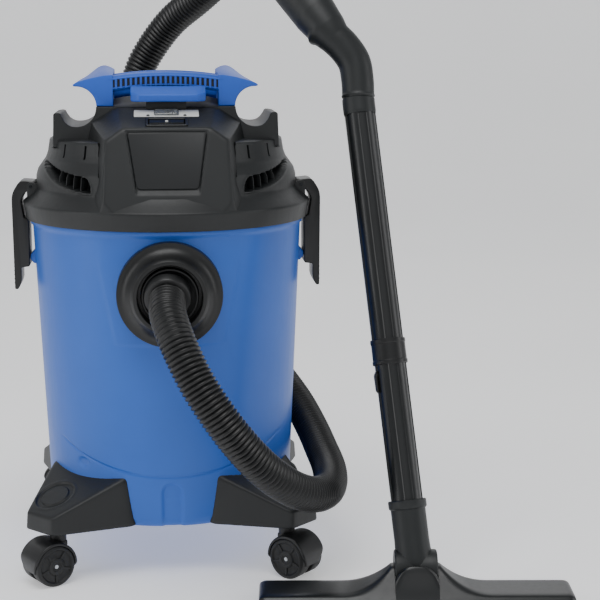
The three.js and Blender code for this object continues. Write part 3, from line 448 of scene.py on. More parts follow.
# ---------------------------------------------------------------- hose
HOSE_ROUTE = [
    (-3, -205, 350), (-3, -230, 338.5), (3, -250, 321), (13, -265, 298), (27, -276, 270), (45, -283, 241),
    (68, -284, 208), (101, -274, 168), (135, -250, 137), (163, -216, 118), (183, -175, 109), (194, -130, 108),
    (197, -85, 113), (193, -38, 123), (186, 12, 138), (171, 72, 162), (143, 124, 196), (104, 168, 244),
    (60, 200, 303), (18, 219, 370), (-15, 228, 438), (-37, 229, 505), (-43, 225, 562), (-33, 218, 602),
    (-15, 210, 634), (12, 195, 668), (46, 170, 696), (66, 151, 714), (81, 127, 731), (91.5, 101, 745),
    (100, 73, 756), (107.5, 46, 761), (116, 19, 758.5), (128.5, -14, 746.8), (138.4, -23.8, 732.5),
]
GRIP_END = np.array([150.8, -36, 714.7])
GRIP_BEND = np.array([199.9, -80, 648.6])
RIDGE_PITCH = 5.6
RINGS_A_RIDGE = 6


def hose_line():
    """The route as one smooth line, with six stations to each ridge."""
    rough = curve_through(HOSE_ROUTE, 1200)
    length = np.linalg.norm(np.diff(rough, axis=0), axis=1).sum()
    return curve_through(HOSE_ROUTE, int(length / RIDGE_PITCH) * RINGS_A_RIDGE + 1), length


def facing(start, towards):
    """Matrix that lays a piece made about z at start, with its z pointing towards the other point."""
    start, towards = Vector(start), Vector(towards)
    turn = Vector((0, 0, 1)).rotation_difference(towards - start).to_matrix().to_4x4()
    return Matrix.Translation(start) @ turn


def hose():
    """Corrugated tube: the radius follows a raised cosine with one crown a ridge, flattened at the crown."""
    path, length = hose_line()
    turn = np.arange(len(path)) * 2 * np.pi / RINGS_A_RIDGE
    crown = (0.5 + 0.5 * np.cos(turn)) ** 0.7
    radius = HOSE_D / 2 * (0.885 + 0.115 * crown)
    made = piece("hose_corrugated", along(path, radius, 22), hose_eva, None, ["hose"], 80)
    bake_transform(made)
    start = facing(path[0], path[RINGS_A_RIDGE])
    collar = turned([(17, -14), (27, -14), (27.5, -13.4), (27.5, -3), (26.6, -1.4), (25, -0.8),
                     (17, -0.8)], 64)
    y = tub_radius(INLET_Z)
    plug = turned([(17, y + 2), (33.5, y + 2), (33.5, y + 24), (32.6, y + 25.6), (31, y + 26),
                   (27.5, y + 24.5), (17, y + 24)], 72)
    seat = Matrix.Translation((0, 0, INLET_Z)) @ Matrix.Rotation(np.pi / 2, 4, "X")
    inlet = piece("hose_inlet_cuff_fine", [moved(collar, start), moved(plug, seat)], black_smooth, "drum",
                  ["hose_inlet_cuff"])
    grip = turned([(17, 0.8), (22.6, 0.8), (23.5, 1.8), (23.5, 7), (22.8, 7.6), (22.8, 9), (23.5, 9.6),
                   (23.5, 21.4), (22.6, 22.8), (17, 22.8)], 64)
    cuff = piece("hose_grip_cuff_fine", moved(grip, facing(path[-1], GRIP_END)), black_smooth, None,
                 ["hose_grip_cuff"])
    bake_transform(cuff)


hose()


# ---------------------------------------------------------------- drum
def smile_height(angle):
    """The curved step across the front: lowest in the middle, rising with the square of the angle."""
    return 125 + 36 * np.clip(np.abs(angle) / np.radians(57), 0, 1) ** 2


def drum_relief(angle, z):
    """How far the wall stands out of its taper: the step's lip, the channel, the inlet's pad, the plugs."""
    x = tub_radius(z) * np.sin(angle)
    front = 1 - ease(np.abs(angle), np.radians(50), np.radians(62))
    below = smile_height(angle) - z
    lip = -1.1 * np.exp(-(below / 1.4) ** 2) - 0.7 * ease(below, -1, 1.5) * (1 - ease(below, 8, 45))
    ahead = np.cos(angle) > 0
    channel = np.hypot(x, np.maximum(z - 104, 0)) - 13
    channel = -3.2 * (1 - ease(channel, -3.5, 1.5)) * ahead
    pad = np.maximum(np.abs(x) - 67 - 0.2 * (z - 300), 287 - z)
    pad = 0.9 * (1 - ease(pad, -2.5, 1.5)) * (1 - ease(z, 372, 404)) * ahead
    plug = np.hypot(np.abs(x) - 108, (z - 135)) - 6.5
    plug = -1.6 * (1 - ease(plug, -1.6, 0.4)) * ahead
    return lip * front + channel + pad + plug


def drum():
    """The wall is a grid over (angle, height) whose rows bend to follow the curved step; the radius is the
    taper plus the relief. A rolled lip, the inside wall and the floor close it."""
    angle = np.radians(steps((-177.6, -64, 2.4), (-64, -14, 0.9), (-14, 14, 0.6), (14, 64, 0.9),
                             (64, 180, 2.4)))
    z = steps((72, 100, 2.4), (100, 119, 1.7), (119, 131, 0.7), (131, 280, 3.4), (280, 300, 1.5),
              (300, 372, 3.4), (372, 414, 3))[:, None]
    pull = np.where(z < 125, (z - 76) / 49, 1 - (z - 125) / 150).clip(0, 1)
    high = z + pull * (smile_height(angle) - 125)
    wall = np.stack([tub_radius(high) + drum_relief(angle, high), high], axis=-1)
    a = np.radians(np.linspace(-90, -8, 7))
    fillet = np.stack([TUB_BASE_R - 12 + 12 * np.cos(a), 72 + 12 * np.sin(a)], axis=1)
    bottom = np.vstack([[[1, 61], [118, 61], [120, 60]], fillet])
    sunk = drum_relief(angle, np.maximum(bottom[:, 1:], 66))
    sunk = sunk * (bottom[:, :1] > 140)
    rolled = [(168.3, 416), (170.2, 418.2), (LIP_R, 420), (LIP_R, 424.6), (170.2, 425.8), (169, 426),
              (166, 426),
              (165.3, 425), (150, 74), (147.5, 67), (141, 63.2), (139, 63), (1, 63)]

    def rows(points, extra=0.0):
        p = np.asarray(points, float)
        return np.stack([p[:, :1] + extra + 0 * angle, p[:, 1:] + 0 * angle], axis=-1)

    rz = np.concatenate([rows(bottom, sunk), wall, rows(rolled)])
    skin = lofted(np.stack([rz[..., 0] * np.sin(angle), -rz[..., 0] * np.cos(angle), rz[..., 1]], axis=-1))
    lug_z = TUB_TOP_Z - 50
    r = tub_radius(lug_z)
    lug = slab([(r - 1.5, lug_z - 9), (r + 1, lug_z - 9), (171.4, lug_z - 4), (171.4, lug_z + 2),
                (r - 1.5, lug_z + 9)], -18, 18, 0.8)
    piece("drum_shell", [skin] + both(lug), blue_drum, "drum", ["tub"], 40)


drum()


# ---------------------------------------------------------------- hose inlet
def inlet():
    """A dished flange turned about the inlet's axis, its back edge pulled forward onto the drum's wall:
    a point is never nearer the drum's axis than the wall is at its own x."""
    front = tub_radius(INLET_Z) + 34
    a = np.linspace(0, 1, 12)
    dish = np.stack([60.5 - 15.5 * a, front - 18.2 + 14.5 * a ** 2.4], axis=1)
    profile = np.vstack([[[34, 120], [62, 120], [62, front - 20], [61.6, front - 18.6]], dish,
                         [[43.6, front - 1.6], [42.4, front - 0.3], [41, front], [38.4, front],
                          [37.6, front - 0.8], [37.5, front - 2], [37.5, front - 18], [34, front - 18]]])
    points, quads, caps = turned(profile, 128, closed=True)
    x, y, out = points[:, 0], points[:, 1], points[:, 2]
    wall = np.sqrt(tub_radius(INLET_Z) ** 2 - x ** 2) - 1.2
    skin = (np.stack([x, -np.maximum(out, wall), INLET_Z + y], axis=1), quads[:, ::-1], caps)
    piece("inlet_flange_fine", wound(*skin), black_smooth, "drum", ["inlet_flange"], 32)


inlet()


# ---------------------------------------------------------------- head
VENT = soften([(146, 35), (129, 26.5), (109, 22), (95, 20.5), (90.5, 12), (90.5, 2.5), (113, 5.5), (131, 12),
               (141, 20), (146.5, 29)], [2, 6, 8, 4, 3, 2, 8, 6, 5, 2], 5)


def outline_distance(x, z, outline):
    """Signed distance to a closed outline, negative inside: the nearest side's distance, with its sign from
    how often a ray to the right crosses the sides."""
    best = np.full(x.shape, 1e9)
    inside = np.zeros(x.shape, bool)
    for (ax, az), (bx, bz) in zip(outline, np.roll(outline, -1, axis=0)):
        length_squared = (bx - ax) ** 2 + (bz - az) ** 2 + 1e-9
        t = np.clip(((x - ax) * (bx - ax) + (z - az) * (bz - az)) / length_squared, 0, 1)
        best = np.minimum(best, np.hypot(x - ax - t * (bx - ax), z - az - t * (bz - az)))
        if az != bz:
            inside ^= ((az > z) != (bz > z)) & (x < (bx - ax) * (z - az) / (bz - az) + ax)
    return np.where(inside, -best, best)


# heights, and the head wall's radius at each
HEAD_WALL = ([463, 470, 478, 486, 492.5, 499.5, 507, 521.5],
             [162, 162.6, 162.2, 159.8, 155.2, 150, 147.2, 144.8])


def head_base():
    """Skirt, brim and wall: a profile turned about the drum's axis, pushed inwards by the curved air outlets
    and, at two constant angles on each side, by the upright slots."""
    slots = [41.2, 56.5]
    edges = [s + d for s in slots for d in (-0.62, -0.5, 0.5, 0.62)]
    half = np.unique(np.concatenate([steps((0, 30, 3), (30, 67, 0.5), (67, 177, 3)), edges]))
    angle = np.radians(np.concatenate([-half[:0:-1], half, [180]]))
    skirt = [(1, 441), (171.8, 441), (173, 440), (173, 425), (173.6, 424.2), (174.6, 424), (175.8, 424.4),
             (176.4, 426), (179.1, 442.6), (179.4, 444.4), (178.9, 445.8), (177.6, 446.9), (170, 453.6),
             (165, 458.4), (163, 461)]
    z = np.concatenate([steps((463, 502.6, 1.3)), [503.4, 503.6], steps((505, 518.6, 1.4)),
                        [519.4, 519.6, 521.5]])
    top = [(144.2, 522.6), (142.8, 523.4), (118, 524.2), (80, 524.6), (1, 524.8)]
    profile = np.vstack([skirt, np.stack([np.interp(z, *HEAD_WALL), z], axis=1), top])
    r, high = profile[:, :1] + 0 * angle, profile[:, 1:] + 0 * angle
    x = np.abs(r * np.sin(angle))
    opening = outline_distance(x, high - BRIM_Z, VENT)
    lean = 1 - ease(opening, -1.2, 0.2)
    rim = 0.8 * np.exp(-((opening - 1.6) / 1.1) ** 2)
    front = (np.cos(angle) > 0) & (high > 462.5) & (high < 522)
    degrees = np.abs(np.degrees(angle))
    slot = sum((np.abs(degrees - s) < 0.56) for s in slots) * ((high > 503.5) & (high < 519.5))
    r = r + front * (rim - 15 * lean - 5 * slot)
    x, y = r * np.sin(angle), -r * np.cos(angle)
    covered = (np.abs(x) < 80) & (y < 0) & (high > 462)
    y = np.where(covered, np.maximum(y, block_face(x, high) + 7), y)
    return lofted(np.stack([x, y, high], axis=-1))


def outlet_fins():
    """Upright blades in the air outlets, their outer edge just inside the wall's own lean."""
    z = np.array([462, 470, 482, 496, 504.0])
    r = np.interp(z, *HEAD_WALL)
    fins = []
    for x in (101.5, 110.5, 119.5, 128.5):
        a = np.degrees(np.arcsin(x / 158))
        outline = np.vstack([np.stack([r - 3.5, z], axis=1), np.stack([r - 16, z], axis=1)[::-1]])
        blade = slab(outline, -0.6, 0.6, 0.3, 2)
        fins += both(moved(blade, Matrix.Rotation(np.radians(a - 90), 4, "Z")))
    return fins


UPPER_WALL = ([514, 524, 540, 555, 557, 563], [144, 143.6, 140, 137.4, 132, 106])


def head_top():
    """Deck and side hooks: one outline across the head, carried straight back to the middle. Behind that
    every point is held inside the circle of its own height, and under the hook's channel, which closes the
    back as a dome that the two channels run out through."""
    a = np.radians(np.linspace(180, 336, 34))
    r = HOOK_R - 3.5 * ease(a, np.radians(285), np.radians(336))
    hook = np.stack([HOOK_X + r * np.cos(a), DECK_Z + r * np.sin(a)], axis=1)
    side = [(84.4, DECK_Z)] + hook.tolist() + [(127.9, 555.2), (129.2, 556), (134.2, 556), (136, 554.4),
                                              (136.4, 540), (137, 525), (137, 514)]
    half = np.array([(2.0, DECK_Z)] + side)
    run = np.concatenate([[0], np.cumsum(np.hypot(*np.diff(half, axis=0).T))])
    even = np.linspace(0, run[-1], int(run[-1] / 1.7))
    half = np.stack([np.interp(even, run, half[:, n]) for n in (0, 1)], axis=1)
    floor = np.stack([np.linspace(138, 2, 40), np.full(40, 514.0)], axis=1)
    half = np.vstack([half, floor])
    outline = np.vstack([half, half[::-1] * [-1, 1]])
    edge = np.roll(outline, -1, axis=0) - np.roll(outline, 1, axis=0)
    normal = np.stack([edge[:, 1], -edge[:, 0]], axis=1)
    normal /= np.maximum(np.linalg.norm(normal, axis=1, keepdims=True), 1e-9)
    if np.sum(normal[:, 1] * (outline[:, 1] > 560)) < 0:
        normal = -normal
    rounding = 0.8
    y = np.concatenate([HOOK_FRONT + np.array([0, 0.12, 0.35, rounding]),
                        steps((-57, 96, 3), (96, 142, 1.8))])
    near_front = np.clip(HOOK_FRONT + rounding - y, 0, rounding)
    shrink = rounding - np.sqrt(np.maximum(rounding ** 2 - near_front ** 2, 0))
    flat = outline[None] - normal[None] * shrink[:, None, None]
    limit = np.interp(flat[..., 1], *UPPER_WALL)
    deep = np.minimum(y[:, None], limit - 0.01)
    reach = np.where(y[:, None] < 0, limit, limit * np.sqrt(1 - np.minimum(np.abs(deep) / limit, 1) ** 2))
    x = np.clip(flat[..., 0], -reach, reach)
    off = np.abs(x) - HOOK_X
    floor_z = DECK_Z - np.sqrt(np.maximum(HOOK_R ** 2 - off ** 2, 0)) - 0.1
    floor_z = np.where(off < 0, DECK_Z - HOOK_R, floor_z)
    held = (np.abs(flat[..., 0]) > reach) & (np.abs(flat[..., 0]) > HOOK_X)
    z = np.where(held, np.minimum(flat[..., 1], floor_z), flat[..., 1])
    return lofted(np.stack([x, deep, z], axis=-1))


SLOPE_TILT = np.arctan2(DECK_Z - BLOCK_TOP[1], SLOPE_BACK - BLOCK_TOP[0])
FACE_LEAN = np.arctan2(BLOCK_TOP[0] - BLOCK_LOW[0], BLOCK_TOP[1] - BLOCK_LOW[1])
ON_SLOPE = Matrix.Translation((0, *BLOCK_TOP)) @ Matrix.Rotation(SLOPE_TILT, 4, "X")
ON_FACE = Matrix.Translation((0, *BLOCK_TOP)) @ Matrix.Rotation(np.pi / 2 - FACE_LEAN, 4, "X")
WELL = (25.0, 8.0, 36.0)    # switch well: half width, and its ends up the slope
STRIP = (39.0, 41.0, 65.0)


def block_face(x, z):
    """y of the front block's face at (x, z): a leaning plane, with a facet falling back at each side."""
    rise = (z - BLOCK_LOW[1]) / (BLOCK_TOP[1] - BLOCK_LOW[1])
    plane = BLOCK_LOW[0] + (BLOCK_TOP[0] - BLOCK_LOW[0]) * rise
    back = plane + (2.3 + 1.6 * rise) * (np.abs(x) - (76 - 4.5 * rise))
    return np.minimum(0.5 * (plane + back + np.sqrt((plane - back) ** 2 + 16)), BLOCK_BACK - 4)


def block_roof(x, y):
    """z of the front block's top: the switch slope, with a bevelled shoulder at each side."""
    slope = BLOCK_TOP[1] + np.tan(SLOPE_TILT) * (y - BLOCK_TOP[0])
    shoulder = BLOCK_TOP[1] - 0.62 * (np.abs(x) - 52) + 0.36 * (y - BLOCK_TOP[0])
    return 0.5 * (slope + shoulder - np.sqrt((slope - shoulder) ** 2 + 1.2))


def panel_sink(x, z):
    """Depth of the front panel's recess: full inside a tapering trapezoid, with a bevel around it that is
    wider below."""
    down = (BLOCK_TOP[1] - z) / np.cos(FACE_LEAN)
    side = np.abs(x) - (46 - 10 * (down - 4) / 68)
    over, under = 4 - down, (down - 73) * 0.42
    away = np.hypot(np.hypot(np.maximum(side, 0), np.maximum(over, 0)), np.maximum(under, 0))
    return 2.9 * (1 - ease(away, 0.0, 3.0))


# distances from the axis, and the height of the brim's top at each
BRIM_TOP = ([161, 163, 165, 170, 177.6, 178.9], [463, 461, 458.4, 453.6, 446.9, 445.8])


def front_block():
    """Carried across x: each ring goes up the face, over a rounded edge, back along the slope and home below.
    The panel's recess sinks the face, and the switch well and the legend's seat sink the slope."""
    x = np.unique(np.concatenate([steps((-104, 104, 1.5)), *[[s * (w - 0.1), s * (w + 0.1)]
                  for s in (-1, 1) for w in (WELL[0], STRIP[0])]]))[:, None]
    top = np.full_like(x, BLOCK_TOP[1])
    for _ in range(12):
        top = block_roof(x, block_face(x, top))
    rim = np.sqrt(np.maximum(BRIM_R ** 2 - x ** 2, 0))
    foot = np.full_like(x, 452.0)
    for _ in range(12):
        out = np.hypot(x, np.maximum(block_face(x, foot), -rim))
        foot = np.interp(out, *BRIM_TOP) - 1.2
    up = np.linspace(0, 1, 62)[None]
    z_face = foot + (top - foot) * up
    y_face = np.maximum(block_face(x, z_face) + panel_sink(x, z_face), -rim)
    edge_y = block_face(x, top)
    walls = [[s - 0.1, s + 0.1] for s in WELL[1:] + STRIP[1:]]
    along_slope = np.unique(np.concatenate([steps((0, 86, 1.8)), *walls]))
    shorten = (BLOCK_BACK - edge_y) / (BLOCK_BACK - BLOCK_TOP[0])
    y_top = edge_y + along_slope[None] * np.cos(SLOPE_TILT) * shorten
    z_top = block_roof(x, y_top)
    reach = (y_top - BLOCK_TOP[0]) / np.cos(SLOPE_TILT)
    well = (np.abs(x) < WELL[0]) & (reach > WELL[1]) & (reach < WELL[2])
    seat = (np.abs(x) < STRIP[0]) & (reach > STRIP[1]) & (reach < STRIP[2])
    z_top = np.minimum(z_top, DECK_Z - 0.05) - 6 * well - 1.2 * seat
    channel = DECK_Z - np.sqrt(np.maximum(HOOK_R ** 2 - (np.abs(x) - HOOK_X) ** 2, 0)) - 0.4
    z_top = np.where((np.abs(x) > HOOK_X - HOOK_R) & (y_top > HOOK_FRONT + 1),
                     np.minimum(z_top, channel), z_top)
    home = np.full_like(x, BLOCK_BACK + 2)
    ring_y = np.concatenate([y_face[:, :-1], y_top, home, home], axis=1)
    ring_z = np.concatenate([z_face[:, :-1], z_top, np.full_like(x, 530), foot], axis=1)
    corner = z_face.shape[1] - 1
    for _ in range(5):
        near = slice(corner - 2, corner + 2)
        for ring in (ring_y, ring_z):
            before, after = ring[:, corner - 3:corner + 1], ring[:, corner - 1:corner + 3]
            ring[:, near] = (before + 2 * ring[:, near] + after) / 4
    return lofted(np.stack([x + 0 * ring_y, ring_y, ring_z], axis=-1))


def deck_hump():
    """The switch slope carried on between the handle's posts: along y it rises to a crown and falls behind,
    and across x it drops by the fourth power of the distance."""
    x = np.linspace(-63.4, 63.4, 61)[:, None]
    y = steps((-64, 44, 3))[None]
    rise = np.minimum(DECK_Z + 0.55 + np.tan(SLOPE_TILT) * (y + 62), 575.5 - 0.0042 * (y + 16) ** 2)
    top = rise - 4.5 * (np.abs(x) / 63.4) ** 4 * ease(y, -62, -40) - 9 * ease(y, 12, 44)
    top = np.maximum(top, DECK_Z - 2)
    y_ring = np.concatenate([y + 0 * x, np.full_like(x, 44), np.full_like(x, -64)], axis=1)
    z_ring = np.concatenate([top, np.full_like(x, 556), np.full_like(x, 550)], axis=1)
    return lofted(np.stack([x + 0 * y_ring, y_ring, z_ring], axis=-1))


def head():
    parts = [head_base(), head_top(), front_block(), deck_hump()] + outlet_fins() + latch_ears()
    piece("head_fine", parts, black_shell, "head", ["head_shell"], 34)


def latch_ears():
    """Two cheeks on the brim at each side that carry the clip's pin."""
    px, pz = LATCH_PIN
    outline = soften([(px - 13, 455), (px + 5, 450), (px + 5, pz + 3), (px, pz + 6), (px - 13, pz + 1)],
                     [1, 1, 3, 5, 3], 5)
    ears = []
    for y in (-24.4, 24.4):
        ears += both(slab(outline, y - 2, y + 2, 0.6, 3))
    return ears


head()


def front_panel():
    """The tapering panel in the front block's recess, with soft corners, its face 0.6 mm down."""
    corners = [(-45.6, -4.4), (45.6, -4.4), (35.6, -71.6), (-35.6, -71.6)]
    plate = slab(soften(corners, [3, 3, 5, 5], 8), -2.4, -0.9, 0.5, 3, "z")
    piece("front_panel_fine", moved(plate, ON_FACE), panel_abs, "head", ["front_panel"])


front_panel()


# ---------------------------------------------------------------- switch, legend and window
def rectangle(half_x, low, high, radius, count=6):
    return soften([(-half_x, low), (half_x, low), (half_x, high), (-half_x, high)], radius, count)


def stacked(outlines, heights):
    """Skin over flat outlines laid at rising or falling heights."""
    rings = [np.column_stack([o, np.full(len(o), h)]) for o, h in zip(outlines, heights)]
    return lofted(np.stack(rings))


def controls():
    """Switch frame as stacked rounded rectangles, the rocker as a bent bar, the film and its window."""
    w, low, high = WELL[0] - 0.4, WELL[1] + 0.4, WELL[2] - 0.4
    frame_rings = [(0, -5.6), (0, 1.0), (0.5, 1.5), (2.4, 1.5), (3.0, 0.9), (3.0, -4.4)]
    bezel = stacked([rectangle(w - d, low + d, high - d, max(2.5 - d * 0.4, 0.8)) for d, _ in frame_rings],
                    [h for _, h in frame_rings])
    piece("switch_frame", moved(bezel, ON_SLOPE), black_smooth, "head", ["switch_bezel"])
    y = (high - low) / 2 - 3.9
    profile = soften([(-y + 0.6, -2.2), (y - 0.6, -2.2), (y, 0.2), (0, -0.6), (-y, 2.6)],
                     [0.5, 0.5, 0.6, 5, 0.8], 6)
    middle = (WELL[1] + WELL[2]) / 2
    rocker = slab(profile + [middle, 0], -20.6, 20.6, 0.7, 3, "x")
    piece("switch_rocker_fine", moved(rocker, ON_SLOPE), black_gloss, "rocker", ["switch_rocker"])
    pip = moved(turned([(0.2, -0.8), (1.9, -0.8), (1.9, 0.4), (1.5, 0.7), (0.2, 0.7)], 24),
                ON_SLOPE @ Matrix.Translation((0, middle + y * 0.4, -0.1)))
    piece("switch_pip", pip, label_film, "rocker")
    film = stacked([rectangle(38.6, 41.4 + d, 64.6 - d, 1.5) for d in (0, 0, 0.2)], (-0.8, 0.2, 0.4))
    piece("legend_film", moved(film, ON_SLOPE), label_film, "head", ["legend_strip"])
    levels = [(0, 0.8), (0.3, 2.2), (1.0, 3.1), (2.2, 3.6)]
    cover = stacked([rectangle(15 - d, 44 + d, 62 - d, 3) for d, _ in levels], [h for _, h in levels])
    piece("indicator_cover", moved(cover, ON_SLOPE), window_clear, "head", ["indicator_window"])
    lens = moved(turned([(0.3, 0.4), (5.2, 0.4), (5.2, 1.4), (4.2, 2.2), (0.3, 2.5)], 40),
                 ON_SLOPE @ Matrix.Translation((4.5, 52, 0)))
    pegs = [moved(turned([(0.2, 0), (1.9, 0), (1.9, 0.9), (1.2, 1.5), (0.2, 1.6)], 24),
                  ON_SLOPE @ Matrix.Translation((s * 22, 44, 0.2))) for s in (-1, 1)]
    piece("indicator_lens_and_pegs", [lens] + pegs, black_gloss, "head")


controls()


def cleaning_paddle():
    """Carried across x: a wedge whose top falls towards the front, its front face drawn back at both ends."""
    x = np.array([-45, -44.6, -43.5, -41, -38, -35.5, -34, -20, 0, 20, 34, 35.5, 38, 41, 43.5, 44.6, 45.0])
    end = np.clip(np.abs(x) - 35, 0, 10)
    pinch = np.clip(np.abs(x) - 43.4, 0, 2) * 0.9
    front = -88 + end
    shift = 2.5
    corners = np.stack([np.stack([front + 1 + pinch, 570 + pinch], axis=1),
                        np.stack([-60.4 - pinch, 570 + pinch], axis=1),
                        np.stack([-60.4 - pinch, 587.6 - pinch], axis=1),
                        np.stack([-64 - pinch, 588 - pinch], axis=1),
                        np.stack([front + pinch, 578.4 - pinch + 0.25 * end], axis=1)], axis=1)
    ring = soften(corners, 1.8, 6)
    across = np.broadcast_to(x[:, None, None] + shift, (*ring.shape[:2], 1))
    wedge = lofted(np.concatenate([across, ring], axis=-1))
    stem = slab([(-24, -69.6), (24, -69.6), (24, -60.4), (-24, -60.4)], 551, 574, 0.5, 2, "z")
    piece("cleaning_paddle", wedge, blue_handle, "button", ["cleaning_button"], 40)
    piece("paddle_stem", stem, black_shell, "button")


cleaning_paddle()


# ---------------------------------------------------------------- carry handle
def handle_top(x):
    """Top of the carry handle's bars: a shallow arch across the head."""
    return 605 - 4.5 * (x / 64) ** 2


def handle_bar(front):
    """Carried across x: a rounded bar under the arch. The front one has a long recess behind its grille."""
    x = np.unique(np.concatenate([steps((-70, 70, 3.5)), [-66.2, -65.8, 65.8, 66.2]]))
    low, top = 585.6 - 5 * (x / 66) ** 2 - (0 if front else 12), handle_top(x)
    recess = np.where(np.abs(x) < 66, 3.6, 0.05) if front else np.full_like(x, 0.05)
    y0, y1 = -52.0, -26.0
    rows = [(y0 + 4, low), (y1 - 4, low), (y1, low + 4), (y1, top - 5), (y1 - 6, top), (y0 + 6, top - 0.4),
            (y0, top - 4), (y0, top - 5.4), (y0 + recess, top - 5.6), (y0 + recess, low + 4.6),
            (y0, low + 4.2), (y0, low + 3.4)]
    corners = np.stack([np.stack([y + 0 * x, z + 0 * x], axis=1) for y, z in rows], axis=1)
    ring = soften(corners, [3, 3, 3, 4, 4, 4, 1.5, 0.4, 0.3, 0.3, 0.4, 1.5], 5)
    if not front:
        ring = ring * [-1, 1]
    return lofted(np.concatenate([np.broadcast_to(x[:, None, None], (*ring.shape[:2], 1)), ring], axis=-1))


def handle_cheek():
    """End cheek: an outline that sweeps out to a tip over the side hook, carried front to back. Its shoulder
    swells towards the rear."""
    x = np.linspace(66, 106, 14)
    brow = 601 - 9.5 * ((x - 66) / 44) ** 1.5
    a = np.radians(np.linspace(88, 179, 22))
    arc = np.stack([HOOK_X + (HOOK_R + 0.1) * np.cos(a), DECK_Z + (HOOK_R + 0.1) * np.sin(a)], axis=1)
    arc[-1, 1] = DECK_Z + 0.5
    outline = np.vstack([[(64, DECK_Z + 0.5), (64, 600.6)], np.stack([x, brow], axis=1),
                         [(110.5, 590.6), (112.4, 589.2), (111.8, 587.6)], arc])
    points, quads, caps = slab(outline, -52, 52, 0.9, 3)
    swell = 11 * np.exp(-((points[:, 0] - 79) / 17) ** 2) * ease(points[:, 1], -50, 50)
    points[:, 2] += np.where(points[:, 2] > 589, swell, 0)
    return points, quads, caps


def carry_handle():
    """Two cheeks, two bars and the grille's 23 ribs, six millimetres apart, and a thin black strip just
    behind the ribs that is painted shadow in the grille's slots.
    """
    ribs = []
    for x in np.arange(-66, 67, 6.0):
        half = 1.4 if abs(x) < 65 else 2.2
        z = 4.4 - 5 * (x / 66) ** 2
        ribs.append(slab([(x - half, 584 + z), (x + half, 584 + z), (x + half, 600.4 - 4.5 * (x / 64) ** 2),
                          (x - half, 600.4 - 4.5 * (x / 64) ** 2)], -51.9, -48, 0.4, 2))
    bars = [handle_bar(True), handle_bar(False)]
    piece("carry_handle_fine", bars + both(handle_cheek()) + ribs, blue_handle, "head", ["carry_handle"],
          40)
    # Painted shadow: a thin black strip just behind the ribs, standing in for the shade in the grille's slots
    # so that they read dark.
    x = np.linspace(-65.5, 65.5, 30)
    slot_shade_outline = np.vstack([np.stack([x, 590.6 - 5 * (x / 66) ** 2], axis=1),
                      np.stack([x, 599.2 - 4.5 * (x / 64) ** 2], axis=1)[::-1]])
    piece("grille_slots_painted_shadow", slab(slot_shade_outline, -48.6, -48, 0.1, 1), black_smooth, "head")


carry_handle()


# ---------------------------------------------------------------- clips
def latches():
    """The hanging clip's side outline, softened and carried across its width, with grip ribs low down."""
    px, pz = LATCH_PIN
    corners = [(px - 4.4, pz), (px - 2, pz + 5.5), (px + 14, pz + 7), (190.4, pz - 6), (192.5, pz - 14),
               (191.6, 335), (187.4, 335), (184.4, 341), (183, 346), (183, 362.4), (172.4, 363.6),
               (172.2, 421), (174, 423.2), (178, 424.6), (181, 443), (181, 447), (px + 7, 457.5),
               (px, 457.5), (px - 4, pz - 4)]
    radius = [2, 2, 5, 5, 5, 1.8, 1.8, 2, 2, 2, 2, 1.4, 1, 1, 1.5, 2, 3, 3, 3]
    clip = slab(soften(corners, radius, 4), -22, 22, 0.7, 3)
    rib = soften([(190.6, 0), (192.6, 0.6), (192.6, 2.4), (190.6, 3)], 0.7, 3)
    ribs = [slab(rib + [0, z], -17, 17, 0.8, 2) for z in np.arange(341, 372, 5.2)]
    rail = slab(soften([(190.2, 378), (192.7, 380), (192.7, 438), (190.2, 441)], 1.2, 4), -14, 14, 1.2, 3)
    right = [clip, rail] + ribs
    piece("latch_right_fine", right, black_smooth, "latch_right", ["latch_right"])
    piece("latch_left_fine", [mirrored(s) for s in right], black_smooth, "latch_left", ["latch_left"])


latches()


# ---------------------------------------------------------------- feet
FOOT_FACE = np.array([0.304, 0.304, 0.9029])
FOOT_RING = np.array([142.0, 130.0, 0.0])
FOOT_PLANES = [((0, 0, -1), -62.0), ((0.7071, 0.7071, 0.03), 228.0), ((0.955, -0.287, 0.076), 132.8),
               ((-0.287, 0.955, 0.076), 132.8), (FOOT_FACE, 172.2), ((-0.9885, 0, 0.1508), -34.0),
               ((0, -0.9885, 0.1508), -34.0), ((-0.7071, -0.7071, 0), -112.0), ((0, 0, 1), 124.0)]


def foot_skin():
    """A rounded block: along direction d from a point under the ring, the surface is at
    1 / (sum over faces of (n.d / h)^26)^(1/26), where h is each face's distance. A shallow ring is sunk in
    the sloping face, and what would be inside the drum is pushed out to just behind its wall."""
    ring_z = (172.2 - FOOT_FACE[:2] @ FOOT_RING[:2]) / FOOT_FACE[2]
    middle = np.array([*FOOT_RING[:2], ring_z]) - FOOT_FACE * 20
    across = np.cross(FOOT_FACE, [0, 0, 1])
    across /= np.linalg.norm(across)
    up = np.cross(across, FOOT_FACE)
    theta = np.radians(steps((0.4, 38, 3), (38, 52, 0.7), (52, 140, 1.6), (140, 179.6, 3)))[:, None, None]
    phi = np.radians(np.arange(0, 360, 2.0))[None, :, None]
    d = np.cos(theta) * FOOT_FACE + np.sin(theta) * (np.cos(phi) * across + np.sin(phi) * up)
    total = 0
    for normal, offset in FOOT_PLANES:
        total = total + np.maximum(d @ np.array(normal) / (offset - np.array(normal) @ middle), 0) ** 26
    points = middle + d / total[..., None] ** (1 / 26)
    off_axis = np.linalg.norm(np.cross(points - middle, FOOT_FACE), axis=-1)
    sunk = ease(off_axis, 16.5, 18) * (1 - ease(off_axis, 23, 24.5)) * (theta[..., 0] < 1.2)
    rim = np.exp(-((off_axis - 26) / 1.3) ** 2) * (theta[..., 0] < 1.2)
    points = points + (0.5 * rim - 1.8 * sunk)[..., None] * FOOT_FACE
    reach = np.hypot(points[..., 0], points[..., 1])
    least = tub_radius(np.clip(points[..., 2], 66, 130)) - 1.5
    points[..., :2] *= np.maximum(1, least / reach)[..., None]
    return lofted(points)


